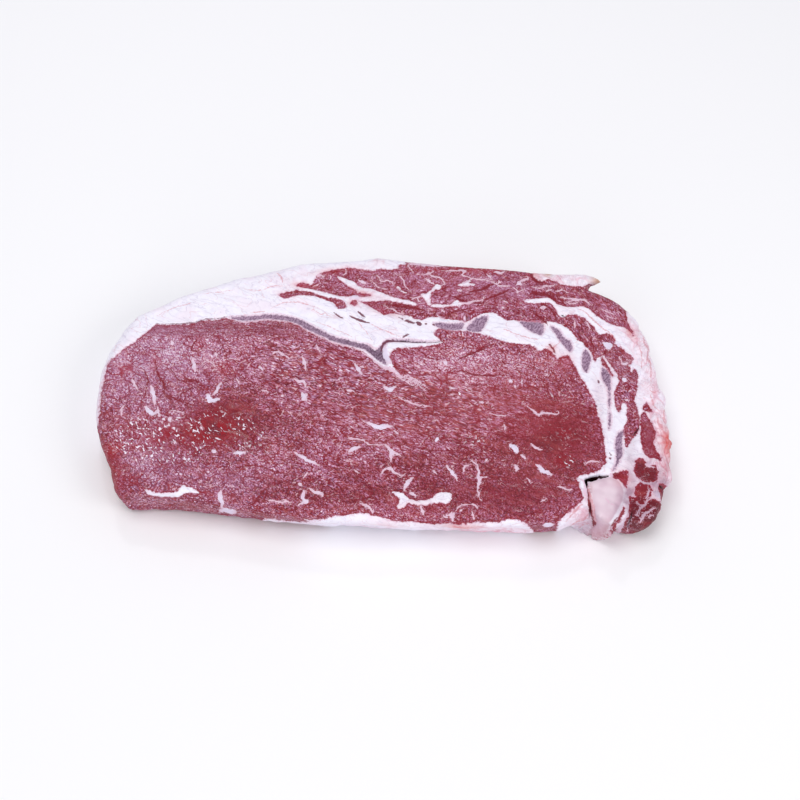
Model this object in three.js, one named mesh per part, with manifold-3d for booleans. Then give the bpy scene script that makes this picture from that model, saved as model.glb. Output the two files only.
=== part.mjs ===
// A raw, lip-on ribeye steak lying flat: one solid slab of beef with rolled edges, an uneven
// top, a hooked flap of fat at the back right and a deep crack beside the fat pad at the
// front right. Millimetres, +Z up, +X along the length towards the fatty end, +Y towards the
// fat cap. The origin is the middle of the footprint on the surface the steak lies on.
import * as THREE from "three";
import { mergeVertices } from "three/addons/utils/BufferGeometryUtils.js";
import Module from "manifold-3d";

const { clamp, degToRad, lerp, smoothstep } = THREE.MathUtils;

// Driving sizes of the slab.
const thickness = 20; // from the surface it lies on to the middle of the top
const topRoll = { least: 3.8, most: 6.4 }; // radius of the rounded upper edge
const rollSwing = { slow: 70, quick: 33 }; // how far apart the round and sharp stretches of that edge are
const heelRadius = 5; // radius of the rounded lower edge
const undercut = { back: 8, front: 27 }; // how far the wall leans in under the top, degrees

// The crack beside the fat pad: a slot from its inner corner to the front edge, with a short
// arm along the back of the pad.
const crack = {
  depth: 9,
  width: 1.7,
  mouthWidth: 1.1,
  bow: 1.3,
  corner: [81.8, -47.2],
  armEnd: [92.4, -44.5],
  mouth: [84.2, -73.2], // beyond the front edge, which the slot runs through
};

// How finely everything is faceted.
const facets = { around: 156, top: 13, roll: 5, wall: 3, heel: 3, underside: 4, crack: 6 };

// The widest line of the slab in plan, anticlockwise, stretch by stretch.
const outline = {
  leftEnd: [[-117.4, -8], [-116.2, -19], [-113.2, -28.5], [-108.3, -40], [-104, -51.4]],
  front: [[-92.5, -52.4], [-65, -56.6], [-45, -61], [-20, -64.1], [8, -65.4], [42, -65.9], [69, -65]],
  pad: [[78.4, -62.4], [85.8, -60], [91, -67.8], [95.4, -61.4]],
  tail: [[102.4, -63.8], [107.6, -62.4], [112, -56.5], [113.8, -48.5], [117.6, -41], [116.8, -33]],
  fatEnd: [[118.6, -25], [117.6, -17], [118.5, -7], [116, 8], [114.3, 21], [111, 34], [105.6, 42.6]],
  hook: [[98.4, 48.6], [90.6, 52.6], [97.8, 56.8], [92, 59.2]],
  back: [[65, 61.8], [50, 63.4], [25, 66.3], [-1, 70.2], [-14, 67.4], [-28, 67.6], [-45, 63.8]],
  fatCap: [[-60, 59.3], [-80.3, 49.4], [-95.4, 41.7], [-106, 35.4], [-114.2, 21.3], [-117.6, 7]],
};
const centre = new THREE.Vector3(2, -1, 0); // where the facets of the top and underside meet

// Places where the top stands proud of the slab or sinks below it, each a soft round swell.
const swells = [
  { x: -30, y: -12, reach: 58, rise: 0.9 }, // the eye muscle
  { x: 45, y: 5, reach: 34, rise: 0.5 },
  { x: -82, y: 43, reach: 20, rise: 1.4 }, // the fat cap
  { x: 34, y: 50, reach: 24, rise: 0.9 }, // the cap muscle
  { x: -3, y: 13, reach: 9, rise: -1.3 }, // where the seam of silverskin ends
  { x: -40, y: 34, reach: 9, rise: -0.6 },
  { x: 86, y: 57, reach: 9, rise: 1.3 }, // the hooked flap
  { x: 92, y: 18, reach: 16, rise: -0.9 },
  { x: 114, y: -5, reach: 22, rise: -1.8 }, // the fat along the right end
  { x: 90, y: -57, reach: 9, rise: 1 }, // the pad
  { x: 112, y: -62, reach: 17, rise: -7 }, // the drooping tail
  { x: -108, y: -50, reach: 20, rise: -2.6 },
];

// Small lumps that run round the fatty right end.
const lumps = { size: 0.8, spacing: 9.5, slant: 31, from: 60, to: 105, fade: 12 };

const wave = (along, length) => Math.sin((2 * Math.PI * along) / length);

function topHeight(x, y) {
  let height = thickness;
  for (const swell of swells) {
    const away = Math.hypot(x - swell.x, y - swell.y) / swell.reach;
    height += swell.rise * Math.exp(-away * away);
  }
  return height;
}

// The radius of the upper edge at one place on the outline.
function rollAt(edge) {
  const swing = 0.5 + 0.3 * wave(edge.x, rollSwing.slow) + 0.2 * wave(edge.x + edge.y, rollSwing.quick);
  return lerp(topRoll.least, topRoll.most, swing);
}

// How much the wall leans in for each millimetre down, for a wall that faces this way.
function undercutSlope(outward) {
  const facingFront = smoothstep(-outward.y, 0.15, 0.9);
  return Math.tan(degToRad(lerp(undercut.back, undercut.front, facingFront)));
}

// How far the lumps push the wall out at one place on the outline and one height.
function lumpiness(edge, inset, z) {
  const share = smoothstep(edge.x, lumps.from, lumps.to) * clamp(1 - inset / lumps.fade, 0, 1);
  const along = edge.y - edge.x / 2;
  return lumps.size * share * wave(along + (z * lumps.spacing) / lumps.slant, lumps.spacing) * wave(along, lumps.slant);
}

// One station of the section, from the middle of the top (ring 0) over the edge to the middle
// of the underside: how far in from the outline it lies, and its height.
function section(ring, reach, roll, slope, heightAt) {
  if (ring <= facets.top) {
    const inset = lerp(reach, roll, ring / facets.top);
    return { inset, z: heightAt(inset) };
  }
  const shoulder = heightAt(roll) - roll;
  let step = ring - facets.top;
  if (step <= facets.roll) {
    const turn = (step / facets.roll) * (Math.PI / 2);
    return { inset: roll * (1 - Math.sin(turn)), z: shoulder + roll * Math.cos(turn) };
  }
  step -= facets.roll;
  const wall = shoulder - heelRadius;
  if (step <= facets.wall) {
    const down = (step / facets.wall) * wall;
    return { inset: slope * down, z: shoulder - down };
  }
  step -= facets.wall;
  const foot = slope * wall;
  if (step <= facets.heel) {
    const turn = (step / facets.heel) * (Math.PI / 2);
    return { inset: foot + heelRadius * (1 - Math.cos(turn)), z: heelRadius * (1 - Math.sin(turn)) };
  }
  step -= facets.heel;
  return { inset: lerp(foot + heelRadius, reach, step / facets.underside), z: 0 };
}

// The whole slab: a sphere's rings and meridians, moved onto the section all round the outline.
function slabGeometry() {
  const points = Object.values(outline).flat().map(([x, y]) => new THREE.Vector3(x, y, 0));
  const edges = new THREE.CatmullRomCurve3(points, true, "centripetal").getSpacedPoints(facets.around);
  const rings = facets.top + facets.roll + facets.wall + facets.heel + facets.underside;
  const slab = new THREE.SphereGeometry(1, facets.around, rings);
  const { position } = slab.attributes;
  const perRing = facets.around + 1;
  for (let i = 0; i < position.count; i++) {
    const edge = edges[(i % perRing) % facets.around];
    const outward = edge.clone().sub(centre);
    const reach = outward.length();
    outward.normalize();
    const heightAt = (inset) => {
      const at = edge.clone().addScaledVector(outward, -inset);
      return topHeight(at.x, at.y);
    };
    const ring = Math.floor(i / perRing);
    const { inset, z } = section(ring, reach, rollAt(edge), undercutSlope(outward), heightAt);
    const place = edge.clone().addScaledVector(outward, lumpiness(edge, inset, z) - inset);
    position.setXYZ(i, place.x, place.y, z);
  }
  return slab;
}

// The slot that is cut away for the crack, standing from the crack's floor to well above the top.
function crackGeometry() {
  const corner = new THREE.Vector2(...crack.corner);
  const armEnd = new THREE.Vector2(...crack.armEnd);
  const mouth = new THREE.Vector2(...crack.mouth);
  const half = new THREE.Vector2(-crack.width / 2, crack.width / 2);
  const halfMouth = new THREE.Vector2(crack.mouthWidth / 2, 0);
  const outerCorner = corner.clone().add(half);
  const innerCorner = corner.clone().sub(half);
  const bowed = (from, to, bow) => from.clone().lerp(to, 0.4).add(new THREE.Vector2(bow / 3, bow));

  const shape = new THREE.Shape();
  const curveTo = (from, to, bow) => {
    const control = bowed(from, to, bow);
    shape.quadraticCurveTo(control.x, control.y, to.x, to.y);
  };
  const mouthRight = mouth.clone().add(halfMouth);
  const mouthLeft = mouth.clone().sub(halfMouth);
  shape.moveTo(outerCorner.x, outerCorner.y);
  curveTo(outerCorner, armEnd, crack.bow);
  curveTo(armEnd, innerCorner, crack.bow / 2);
  curveTo(innerCorner, mouthRight, -crack.bow);
  shape.lineTo(mouthLeft.x, mouthLeft.y);
  curveTo(mouthLeft, outerCorner, -crack.bow);

  const depth = crack.depth + thickness;
  const slot = new THREE.ExtrudeGeometry(shape, { depth, bevelEnabled: false, curveSegments: facets.crack });
  return slot.translate(0, 0, topHeight(corner.x, corner.y) - crack.depth);
}

function toSolid(wasm, geometry) {
  geometry.deleteAttribute("normal");
  geometry.deleteAttribute("uv");
  const merged = mergeVertices(geometry, 1e-4);
  const vertProperties = new Float32Array(merged.attributes.position.array);
  const triVerts = new Uint32Array(merged.index.array);
  return new wasm.Manifold(new wasm.Mesh({ numProp: 3, vertProperties, triVerts }));
}

function toGeometry(solid) {
  const mesh = solid.getMesh();
  const geometry = new THREE.BufferGeometry();
  geometry.setAttribute("position", new THREE.BufferAttribute(mesh.vertProperties, 3));
  geometry.setIndex(new THREE.BufferAttribute(mesh.triVerts, 1));
  geometry.computeVertexNormals();
  return geometry;
}

// Slides the geometry so that its box stands centred over the origin.
function centreOnFootprint(geometry) {
  geometry.computeBoundingBox();
  const middle = geometry.boundingBox.getCenter(new THREE.Vector3());
  return geometry.translate(-middle.x, -middle.y, -geometry.boundingBox.min.z);
}

const wasm = await Module();
wasm.setup();

const cracked = toSolid(wasm, slabGeometry()).subtract(toSolid(wasm, crackGeometry()));
const meat = new THREE.MeshStandardMaterial({ color: 0x9a3245, roughness: 0.45, metalness: 0 });
const steak = new THREE.Mesh(centreOnFootprint(toGeometry(cracked)), meat);
steak.name = "steak";

const group = new THREE.Group();
group.add(steak);

export default group;
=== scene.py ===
import math

import bmesh
import bpy
import numpy as np
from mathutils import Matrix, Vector, kdtree, noise


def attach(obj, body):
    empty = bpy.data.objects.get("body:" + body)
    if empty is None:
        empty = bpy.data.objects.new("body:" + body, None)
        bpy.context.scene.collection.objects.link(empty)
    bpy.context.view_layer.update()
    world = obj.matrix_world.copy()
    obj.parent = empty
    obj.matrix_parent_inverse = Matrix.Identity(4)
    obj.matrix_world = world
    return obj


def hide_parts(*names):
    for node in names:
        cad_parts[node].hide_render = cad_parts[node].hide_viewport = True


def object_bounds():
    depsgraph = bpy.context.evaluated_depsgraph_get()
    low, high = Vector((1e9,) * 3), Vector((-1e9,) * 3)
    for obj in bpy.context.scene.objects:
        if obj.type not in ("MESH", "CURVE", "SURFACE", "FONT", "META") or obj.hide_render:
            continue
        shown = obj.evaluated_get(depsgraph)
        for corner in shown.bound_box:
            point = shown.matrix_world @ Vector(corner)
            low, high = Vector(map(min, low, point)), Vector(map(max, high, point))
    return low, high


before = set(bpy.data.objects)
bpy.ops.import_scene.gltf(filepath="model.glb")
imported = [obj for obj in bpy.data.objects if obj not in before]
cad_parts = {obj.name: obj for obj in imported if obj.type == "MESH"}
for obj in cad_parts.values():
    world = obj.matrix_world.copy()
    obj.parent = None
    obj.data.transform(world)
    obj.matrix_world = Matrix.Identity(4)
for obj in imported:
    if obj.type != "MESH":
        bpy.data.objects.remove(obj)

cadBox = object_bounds()
mm = 0.001
print("frame loaded")


viewSetup = {
    "aim": (0.0079, -0.0088, 0.018),
    "elevation": 55,
    "distance": 0.56,
    "lens": 60.84,
    "floorSize": 4.0,
    "floorColour": (246, 246, 249),
    "worldColour": (0.96, 0.965, 1.0),
    "worldStrength": 0.50,
    # name: place, size, watts, colour
    "lights": {
        "topSoftbox": ((-0.30, -0.05, 1.30), 0.9, 7.0, (1.0, 0.99, 0.98)),
        "sideSoftbox": ((0.95, -0.55, 0.75), 0.7, 4.6, (1.0, 0.99, 0.97)),
        "frontFill": ((-0.10, -1.10, 0.24), 0.6, 2.4, (1.0, 0.99, 1.0)),
        "glintLamp": ((-0.14, 0.55, 0.72), 0.10, 0.60, (0.98, 0.97, 1.0)),
    },
}


def linear(r, g, b):
    parts = np.array([r, g, b]) / 255
    low, high = parts / 12.92, ((parts + 0.055) / 1.055) ** 2.4
    return (*np.where(parts < 0.04045, low, high).tolist(), 1.0)


def addToScene(name, data):
    made = bpy.data.objects.new(name, data)
    bpy.context.scene.collection.objects.link(made)
    return made


def cameraPlace(setup):
    lift = math.radians(setup["elevation"])
    return Vector(setup["aim"]) + Vector((0, -math.cos(lift), math.sin(lift))) * setup["distance"]


def makeCamera(setup):
    camera = addToScene("camera", bpy.data.cameras.new("camera"))
    camera.data.lens = setup["lens"]
    camera.location = cameraPlace(setup)
    camera.rotation_euler = (math.radians(90 - setup["elevation"]), 0, 0)
    bpy.context.scene.camera = camera


def makeLights(setup):
    for name, (place, size, watts, colour) in setup["lights"].items():
        lamp = addToScene(name, bpy.data.lights.new(name, "AREA"))
        lamp.data.shape = "DISK"
        lamp.data.size = size
        lamp.data.energy = watts
        lamp.data.color = colour
        lamp.location = place
        lamp.rotation_euler = (-Vector(place)).to_track_quat("-Z", "Y").to_euler()
    world = bpy.data.worlds.new("studio")
    bpy.context.scene.world = world
    world.use_nodes = True
    sky = world.node_tree.nodes["Background"]
    sky.inputs["Color"].default_value = (*setup["worldColour"], 1)
    sky.inputs["Strength"].default_value = setup["worldStrength"]
    bpy.context.scene.view_settings.view_transform = "Standard"


def makeFloor(setup):
    shape = bmesh.new()
    bmesh.ops.create_grid(shape, x_segments=1, y_segments=1, size=setup["floorSize"] / 2)
    mesh = bpy.data.meshes.new("floor")
    shape.to_mesh(mesh)
    shape.free()
    floor = addToScene("floor", mesh)
    paint = bpy.data.materials.new("paleFloor")
    paint.use_nodes = True
    surface = paint.node_tree.nodes["Principled BSDF"]
    surface.inputs["Base Color"].default_value = linear(*setup["floorColour"])
    surface.inputs["Roughness"].default_value = 0.8
    mesh.materials.append(paint)


makeCamera(viewSetup)
makeLights(viewSetup)
makeFloor(viewSetup)
print("camera, lights and floor made")


# The plan of the cut face, in millimetres, drawn on a level as seen from the camera.
plan = {
    "shift": (0.40, 1.27),  # from the part's origin to the drawing's
    "height": 19,  # of that level
    "sway": 7.0,  # how far the rim's colours wander on their way down a wall
    # Lean muscle, each a closed outline. Those that run past the rim colour the wall below it.
    "lean": {
        "eye": [
            (-115.2, 8), (-115, 10), (-112, 14.5), (-108.5, 18.5), (-104.5, 22), (-101, 26.5), (-98, 30),
            (-96.5, 31.5), (-92, 31), (-86, 31.3), (-80, 32), (-76, 33.8), (-70, 34), (-67, 35.4),
            (-64, 34), (-58, 32.6), (-50, 34.3), (-45, 33.8), (-40, 33), (-36, 31.3), (-33, 29.1),
            (-30, 27.3), (-24, 24.1), (-21, 22.1), (-15, 20.2), (-8, 17.2), (-4, 13.3), (0, 9.3),
            (4, 6.6), (6.5, 5.3), (8, 5), (6, 8), (4.8, 11), (4, 14.5), (5, 17), (8, 18.5), (14, 19),
            (20, 20), (25, 20.8), (26.5, 22), (24.7, 24), (23, 26), (23.5, 28), (25, 29.2), (28, 28.8),
            (32, 28), (36, 27.8), (40, 27), (46, 25), (50, 23.2), (54, 21.5), (60, 20.8), (63.5, 20.5),
            (66, 18.8), (67, 17), (70, 18.5), (72, 17.5), (73.5, 15), (75, 13), (76.5, 14.5), (79, 15),
            (80.5, 12.5), (82, 9), (83, 5), (85, 1), (87, -4.5), (88.5, -8), (89.5, -14), (90.3, -20),
            (90.8, -25), (91, -36), (90.5, -39.5), (89, -41), (87, -43), (84, -44), (80, -45),
            (78.5, -46.3), (79.2, -48.5), (79.4, -51), (80.4, -54), (79.8, -56.5), (77, -59.3),
            (74, -61.8), (70, -66), (69, -69), (68, -76), (61, -76), (60, -70), (57, -66.8), (54, -65),
            (50, -64.8), (47, -66), (42, -66.3), (36, -66.3), (31, -67.1), (27, -66.7), (21.6, -67.1),
            (17, -66.6), (13, -65.8), (7.3, -66.1), (0.4, -63.8), (-6, -62.1), (-13, -62.9), (-18, -63.7),
            (-24, -65), (-30, -65.5), (-36, -65.6), (-43, -64.5), (-48, -65.4), (-50, -67), (-50, -78),
            (-80, -76), (-125, -64), (-127, -27), (-116, -24), (-115, -17), (-115.6, -5),
        ],
        "cap": [
            (-9.5, 44.3), (-8, 43.3), (-4, 40.5), (0, 37.5), (1.5, 36.3), (4, 37.3), (8, 37), (9.5, 36.2),
            (13, 36), (14.5, 34.5), (18, 34), (21, 35.5), (25, 35.3), (27, 34.3), (32, 34), (35, 33.5),
            (36, 32.5), (38, 33), (41, 35.5), (44, 37.3), (48, 38), (50, 37.3), (52, 35.5), (54, 33.8),
            (57.5, 33.6), (62, 33), (66, 32.3), (70, 32), (72, 33), (75, 32.4), (78, 31), (81.5, 27.8),
            (83, 24.8), (84.3, 22.8), (86, 22), (87, 20), (88.5, 17.5), (89.8, 14), (90.3, 11),
            (91.3, 13), (93.5, 14.5), (95, 15), (96.5, 17.5), (98.5, 20), (100, 22), (100.3, 25.5),
            (104, 26.5), (107.5, 25), (108.5, 25.5), (106.8, 32), (106.3, 36), (106.5, 40), (112, 46),
            (103, 54), (95.5, 51.4), (93.8, 52.4), (91.8, 54), (90.2, 53.6), (88, 52.6), (80, 53.5),
            (78, 54.7), (75, 56.2), (74.3, 57), (71, 55.3), (69, 56.3), (67, 58.3), (65.5, 60.5),
            (66, 72), (11, 76), (11, 65.3), (8, 65), (7.5, 63), (6, 62.2), (-1, 62.5), (-3, 61.5),
            (-6, 62), (-10, 62.5), (-13, 63.5), (-16, 63.2), (-20, 62.3), (-24, 61.5), (-27, 60),
            (-29, 57), (-30, 54.6), (-31, 53.4), (-34, 55), (-38, 53.5), (-36, 52.3), (-30, 50.8),
            (-26, 49.8), (-22, 48.5), (-18, 47), (-15, 46.8), (-12, 47.4), (-9, 46),
        ],
        "capStrip": [
            (-45, 48), (-41, 49.5), (-36, 50.5), (-30, 49), (-23, 46.5), (-16, 44.3), (-15, 40.5),
            (-18.5, 40), (-21, 43.5), (-27, 46.3), (-31, 47.5), (-38, 47.2), (-42, 45.8),
        ],
        "capDrop": [(-12.4, 44.9), (-10.8, 44.6), (-10, 43.2), (-11.4, 41.6), (-13.4, 43)],
        "rightStrip": [
            (94.5, 15), (95.5, 12.5), (97, 9.5), (99, 6), (99.5, 3), (99.5, 0), (98, -2), (97, -6),
            (97, -12), (98.5, -14.5), (99.5, -12), (100, -10), (101.5, -9.5), (102, -12), (101, -16),
            (101.5, -18), (100, -21), (99, -24), (99.5, -27), (99, -30), (100, -31.5), (102, -28),
            (104.5, -25), (106, -22), (106, -14), (105.5, -10), (105, -8), (106, -6), (107, -2),
            (107.8, 3), (107.5, 7), (106.5, 8), (105.5, 5.5), (105, 8), (104.5, 9.5), (106, 10.5),
            (106.8, 13), (105.5, 15), (103.5, 17.5), (101.5, 20), (99.5, 21), (97.5, 18),
        ],
        "stripTop": [
            (93.6, 14.5), (94.5, 13.2), (95.5, 10.1), (96.9, 6.4), (98.2, 4), (97.1, 3.4), (95.9, 5.8),
            (94.6, 8.3), (93.5, 9.5), (93.2, 12),
        ],
        "endDrop": [
            (108, -13.4), (108.4, -11.3), (109.5, -10.1), (110.6, -9), (110.7, -10.7), (111.5, -12.2),
            (112.1, -13.7), (111.5, -14.6), (109.9, -14.1),
        ],
        "endStrip": [
            (107.2, -15.8), (108.6, -14.2), (109.6, -16), (110.6, -18.5), (111.6, -21.5), (112.3, -24.7),
            (111.5, -27.5), (110.8, -30), (112, -33.5), (113.2, -36.5), (113, -38.4), (110.6, -37),
            (108.4, -36.6), (106.6, -35), (106, -31), (105.8, -27.9), (106.2, -22.4),
        ],
        "crackEnd": [
            (92.1, -44.7), (94.8, -44.2), (96.2, -43), (97.4, -42.5), (99, -42.6), (99, -45),
            (98.4, -48.4), (97.8, -50.8), (96.9, -49.9), (96, -47.9), (94.6, -46.8), (92.9, -46.3),
        ],
        "tailTop": [
            (103.2, -37), (105.6, -36.8), (107, -38.8), (108, -40), (110.4, -40.4), (111.2, -42.5),
            (110.8, -45), (110.4, -48), (107.6, -49), (105.4, -48.6), (103.6, -47.2), (102.4, -45.6),
            (101.6, -43.8), (101.6, -42), (102.2, -39.6),
        ],
        "tailFold": [
            (101.4, -50), (103.3, -48.2), (104.9, -48.4), (107, -48.8), (108, -51), (107.4, -53.6),
            (106.4, -56), (104.6, -58), (102.4, -58.6), (100.8, -54.5), (101, -52.5),
        ],
        "tail": [
            (98.6, -54.4), (101, -55.6), (102.3, -57.6), (103, -58.6), (104.8, -57.4), (106.7, -55.4),
            (109, -56.4), (111.4, -58.4), (113.5, -65), (107, -76), (100, -77), (93, -75), (92.7, -70.5),
            (94, -67.9), (95.8, -65.1), (97.2, -62.5), (98.1, -58.9),
        ],
        "tailEdge": [
            (110.6, -48.6), (113, -49), (114.6, -53), (114, -57.4), (111.2, -57), (110.4, -52.4),
        ],
        "besidePad": [
            (95.8, -59.1), (96.6, -60), (95.8, -61.9), (94.6, -64.1), (93.2, -66.3), (92.1, -68.6),
            (91.7, -74), (90, -74), (90.2, -70), (90.9, -68.3), (92.1, -66), (93.6, -63.5), (94.7, -61.2),
        ],
    },
    # Broad fat that cuts into the lean, each a closed outline.
    "seams": {
        "capWeb": [
            (-19, 58.6), (-16.5, 57.4), (-12, 55.2), (-10, 53), (-8, 51.8), (-4, 51.1), (0, 49.2),
            (4, 47.4), (8, 45.8), (12, 44.9), (15.5, 43), (16, 41.8), (13, 42.3), (9, 43.4), (5, 44.2),
            (2, 45), (-3, 44.1), (-8, 44), (-12, 46.6), (-10, 46.6), (-4.6, 47), (-5, 48.2), (-10, 49),
            (-11, 50.6), (-13, 51.6), (-15, 53.2), (-17, 55.2), (-19.2, 57),
        ],
        "capPocket": [
            (24.6, 54), (26.5, 52.5), (25.5, 51), (23, 50), (21.8, 49), (21.6, 46.2), (21.4, 44),
            (22.3, 42.8), (26, 42.3), (30.5, 42.5), (32, 44.5), (33.5, 44.8), (34.6, 43.8), (37, 43.3),
            (34.8, 42.3), (34, 40.5), (33, 41.5), (29, 41.3), (25, 40.5), (22, 41.3), (20.3, 43),
            (19, 45.3), (17.2, 48), (20, 48.7), (21.3, 50), (23, 51.8), (23.6, 53.6),
        ],
        "capStar": [
            (32.8, 53.2), (35.5, 54.5), (38, 55.2), (38.8, 56.5), (39.6, 55.8), (38.8, 54.6),
            (41.6, 53.8), (40.5, 52.9), (38, 53), (36.5, 52.5), (35, 53),
        ],
        "capFleck": [(6.8, 53), (8, 52.2), (9.3, 50.4), (11.4, 48.9), (10, 48.8), (8, 50), (6.8, 51.6)],
        "hookSeam": [
            (62.3, 43.8), (64, 45.3), (67, 45.6), (70, 46), (73, 46.2), (75.3, 44.7), (77, 42.4),
            (80, 41.2), (84, 41), (87, 41.4), (89.3, 40.8), (91, 39), (93, 36.5), (96, 33.8), (99, 31.5),
            (102.5, 30.4), (105.5, 29), (107.8, 25.5), (104, 23.5), (101, 21.5), (100, 23.5), (99, 25.2),
            (97.3, 26.7), (95, 26), (93.8, 25.5), (92.8, 27), (91.8, 29.5), (90.5, 31.5), (89, 33.8),
            (87.3, 35.5), (84.5, 36.6), (81.5, 36.8), (79.8, 36.3), (78.3, 34.8), (77, 36.3), (76, 39),
            (75, 41.5), (73.5, 43.3), (71, 43.6), (67, 43), (65, 43.3),
        ],
        "frontLeft": [
            (-92.3, -51.5), (-90, -52), (-86, -52.8), (-82, -52.8), (-79.5, -52), (-78.5, -50),
            (-77.5, -49.3), (-76, -50.2), (-74, -50.5), (-72, -52), (-70, -53.2), (-72.5, -53.2),
            (-75, -52.8), (-77, -53.5), (-79, -55), (-83, -55), (-87, -54.5), (-91, -53.6),
        ],
        "frontMiddle": [
            (5, -52.3), (8, -52.6), (10, -53.6), (12, -55.6), (14.5, -56.4), (16, -56.5), (20, -56),
            (22.5, -53.5), (25, -52.5), (28.5, -53.3), (27.7, -57.5), (25.5, -57.8), (22, -57.5),
            (19, -58.5), (14.5, -58.4), (11, -57.2), (10.8, -59), (8, -60.4), (7.2, -58.8), (8.2, -56),
            (6.8, -54.2),
        ],
    },
    # The smooth pad of fat beside the crack.
    "pad": {
        "whole": [
            (83.4, -48.6), (86, -47), (89.4, -46.2), (91.8, -45.8), (94.7, -47.6), (96.1, -50.5),
            (96.3, -53.6), (95.1, -57.4), (93.1, -60.9), (91.1, -64.3), (88.9, -67.3), (86.2, -68.7),
            (85, -68.2), (84.6, -65.8), (84.3, -61.3), (84.1, -56.7), (83.8, -52.8),
        ],
    },
    # Grey silverskin, each a closed outline.
    "silverskin": {
        "band": [
            (-66, 35.9), (-58, 36.3), (-54, 36.6), (-50, 37.3), (-45, 37.1), (-40, 36.3), (-36, 35),
            (-32, 32.8), (-28, 30.2), (-24, 27.6), (-20, 25.3), (-15, 23.8), (-10, 22.2), (-6, 21),
            (-4, 20), (-2.4, 17.8), (-0.6, 19.5), (1, 21.5), (1.6, 20), (1.2, 16), (2.4, 12), (3.2, 9.3),
            (1.5, 9.8), (-2, 13), (-6, 17), (-8, 18.2), (-15, 20.5), (-21, 22.3), (-24, 24.3),
            (-30, 27.5), (-33, 29.3), (-36, 31.5), (-40, 33.3), (-45, 34), (-50, 34.5), (-58, 33.2),
            (-64, 34.4),
        ],
        "lobeTop": [
            (0.6, 16), (0.2, 19), (1.2, 22.2), (3.5, 23.7), (9, 23.8), (16, 23), (21, 22.5), (26, 22.8),
            (21, 21.5), (14, 21.5), (7, 21.9), (3.4, 21.4), (2, 19.5), (1.4, 17),
        ],
        "underCap": [
            (22.2, 32.2), (25.9, 32.7), (29.5, 32.2), (33.2, 32.4), (35.6, 32.8), (36, 31), (35.4, 29.2),
            (33.5, 28), (30.4, 28.1), (27.1, 28.7), (24.2, 30),
        ],
        "besideLobe": [
            (36.4, 29.5), (37.9, 31.5), (40.2, 34.4), (42.5, 35.8), (45.8, 36.6), (46.5, 34.8),
            (45.5, 32), (44.1, 29.3), (42.9, 27.4), (40.4, 27.2), (37.8, 27.7),
        ],
        "lobeRight": [
            (59.1, 33), (61.5, 33.5), (64.4, 33), (67.2, 33.2), (69.5, 32.3), (70.4, 30.4), (70.1, 27.6),
            (69, 25.1), (66.7, 26), (64.1, 27.6), (62.3, 29), (60.6, 31),
        ],
        "seamTop": [
            (73, 31.4), (75, 30), (77, 28.2), (78.5, 24.5), (81, 22.8), (82, 18.5), (80.6, 16.3),
            (78.8, 18), (76, 22.5), (74.6, 26), (73, 29),
        ],
        "seamMiddle": [
            (86.8, 18.4), (85, 15), (84.6, 10), (85, 6.5), (87, 5.6), (88.4, 10), (89.4, 13.5),
            (88.4, 17),
        ],
        "seamRight": [
            (92.6, 7.4), (93.4, 9), (94.7, 8.2), (95.8, 6.6), (96.6, 4.6), (96.5, 0.3), (96.2, -2.1),
            (95.6, -6.3), (95.2, -11), (94.6, -13.4), (94.9, -15.7), (94.8, -19.3), (94.1, -22.2),
            (93.3, -23.6), (92.8, -22.7), (93.2, -19.3), (93.6, -15.7), (93.9, -13.4), (94, -9.3),
            (94.4, -5.1), (94.3, -1.5), (93.1, 0.9), (92.3, 3.4),
        ],
        "seamFoot": [
            (99, -23), (97, -24), (95.3, -28), (94.8, -31), (95, -35), (94, -40), (92.4, -43),
            (94, -42.6), (96.6, -38), (98.3, -34), (98.2, -30), (98.9, -26), (99.5, -23.5),
        ],
    },
    # Lines: width, then the points they run through. White ones lie over the lean.
    "white": [
        # seams between muscles
        (1.6, (-14, 45.3), (-12, 46.4), (-8.5, 46.4)),
        (0.9, (78, 46.8), (81, 45.8), (84, 45.2), (88.5, 44.9), (90, 43.6), (91.3, 42.3)),
        (2.2, (2, 20), (1.9, 16), (3.2, 12), (4.2, 9.8)),
        (1.0, (3.8, 9), (7, 5.5), (8.5, 4.3), (11, 2.6)),
        (0.6, (8, 4.9), (12, 2.4), (16, -0.6), (19, -4)),
        (0.6, (9, 5.2), (13, 3.2), (18, -0.2), (20, -2.6)),
        (0.6, (6, 4.8), (11, 1.2), (15, -2)),
        (0.9, (-8, 17), (-4, 13.4), (0, 9.5), (4, 7), (8, 4.5)),
        (0.5, (-64, 33.6), (-58, 32.4), (-50, 34), (-45, 33.5), (-40, 32.8), (-36, 31)),
        (0.6, (-33, 28.8), (-30, 27), (-24, 23.8), (-21, 21.8), (-15, 20), (-8, 17)),
        # cap muscle
        (0.7, (-28.5, 57.5), (-27, 59.3), (-25.5, 57.8), (-24.6, 58.6)),
        (0.5, (-16.3, 63), (-15.4, 60.5), (-17, 59)),
        (0.5, (-23, 59.3), (-22, 57), (-23, 56.2)),
        (0.6, (5.5, 60.8), (7.5, 58.8), (9.5, 57), (10, 54), (12, 51), (13.5, 49.5)),
        (0.6, (-2, 59.5), (-1, 57.5), (0, 55.3), (2, 56), (4.5, 55.3), (6, 53)),
        (1.2, (-10, 56.6), (-8, 55), (-6.5, 54)),
        (0.5, (11.5, 65.5), (13, 63), (14.5, 60.5)),
        (0.6, (0.8, 42.5), (2.5, 41), (5, 39.8), (7.5, 38), (9.5, 36.8), (13, 36)),
        (0.5, (-5, 57), (-1, 52), (3, 51)),
        (0.6, (15.5, 47), (16.3, 44.5), (17.5, 43.3)),
        (0.6, (13, 45.5), (16, 46.5), (18.5, 47.6)),
        (1.0, (19.3, 57.2), (21.5, 55.6), (23.4, 53.4)),
        (0.5, (15.6, 59.9), (18, 59.3)),
        (0.6, (17.1, 59.5), (19, 59.5), (20.9, 60.5), (23.7, 61.7)),
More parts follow.
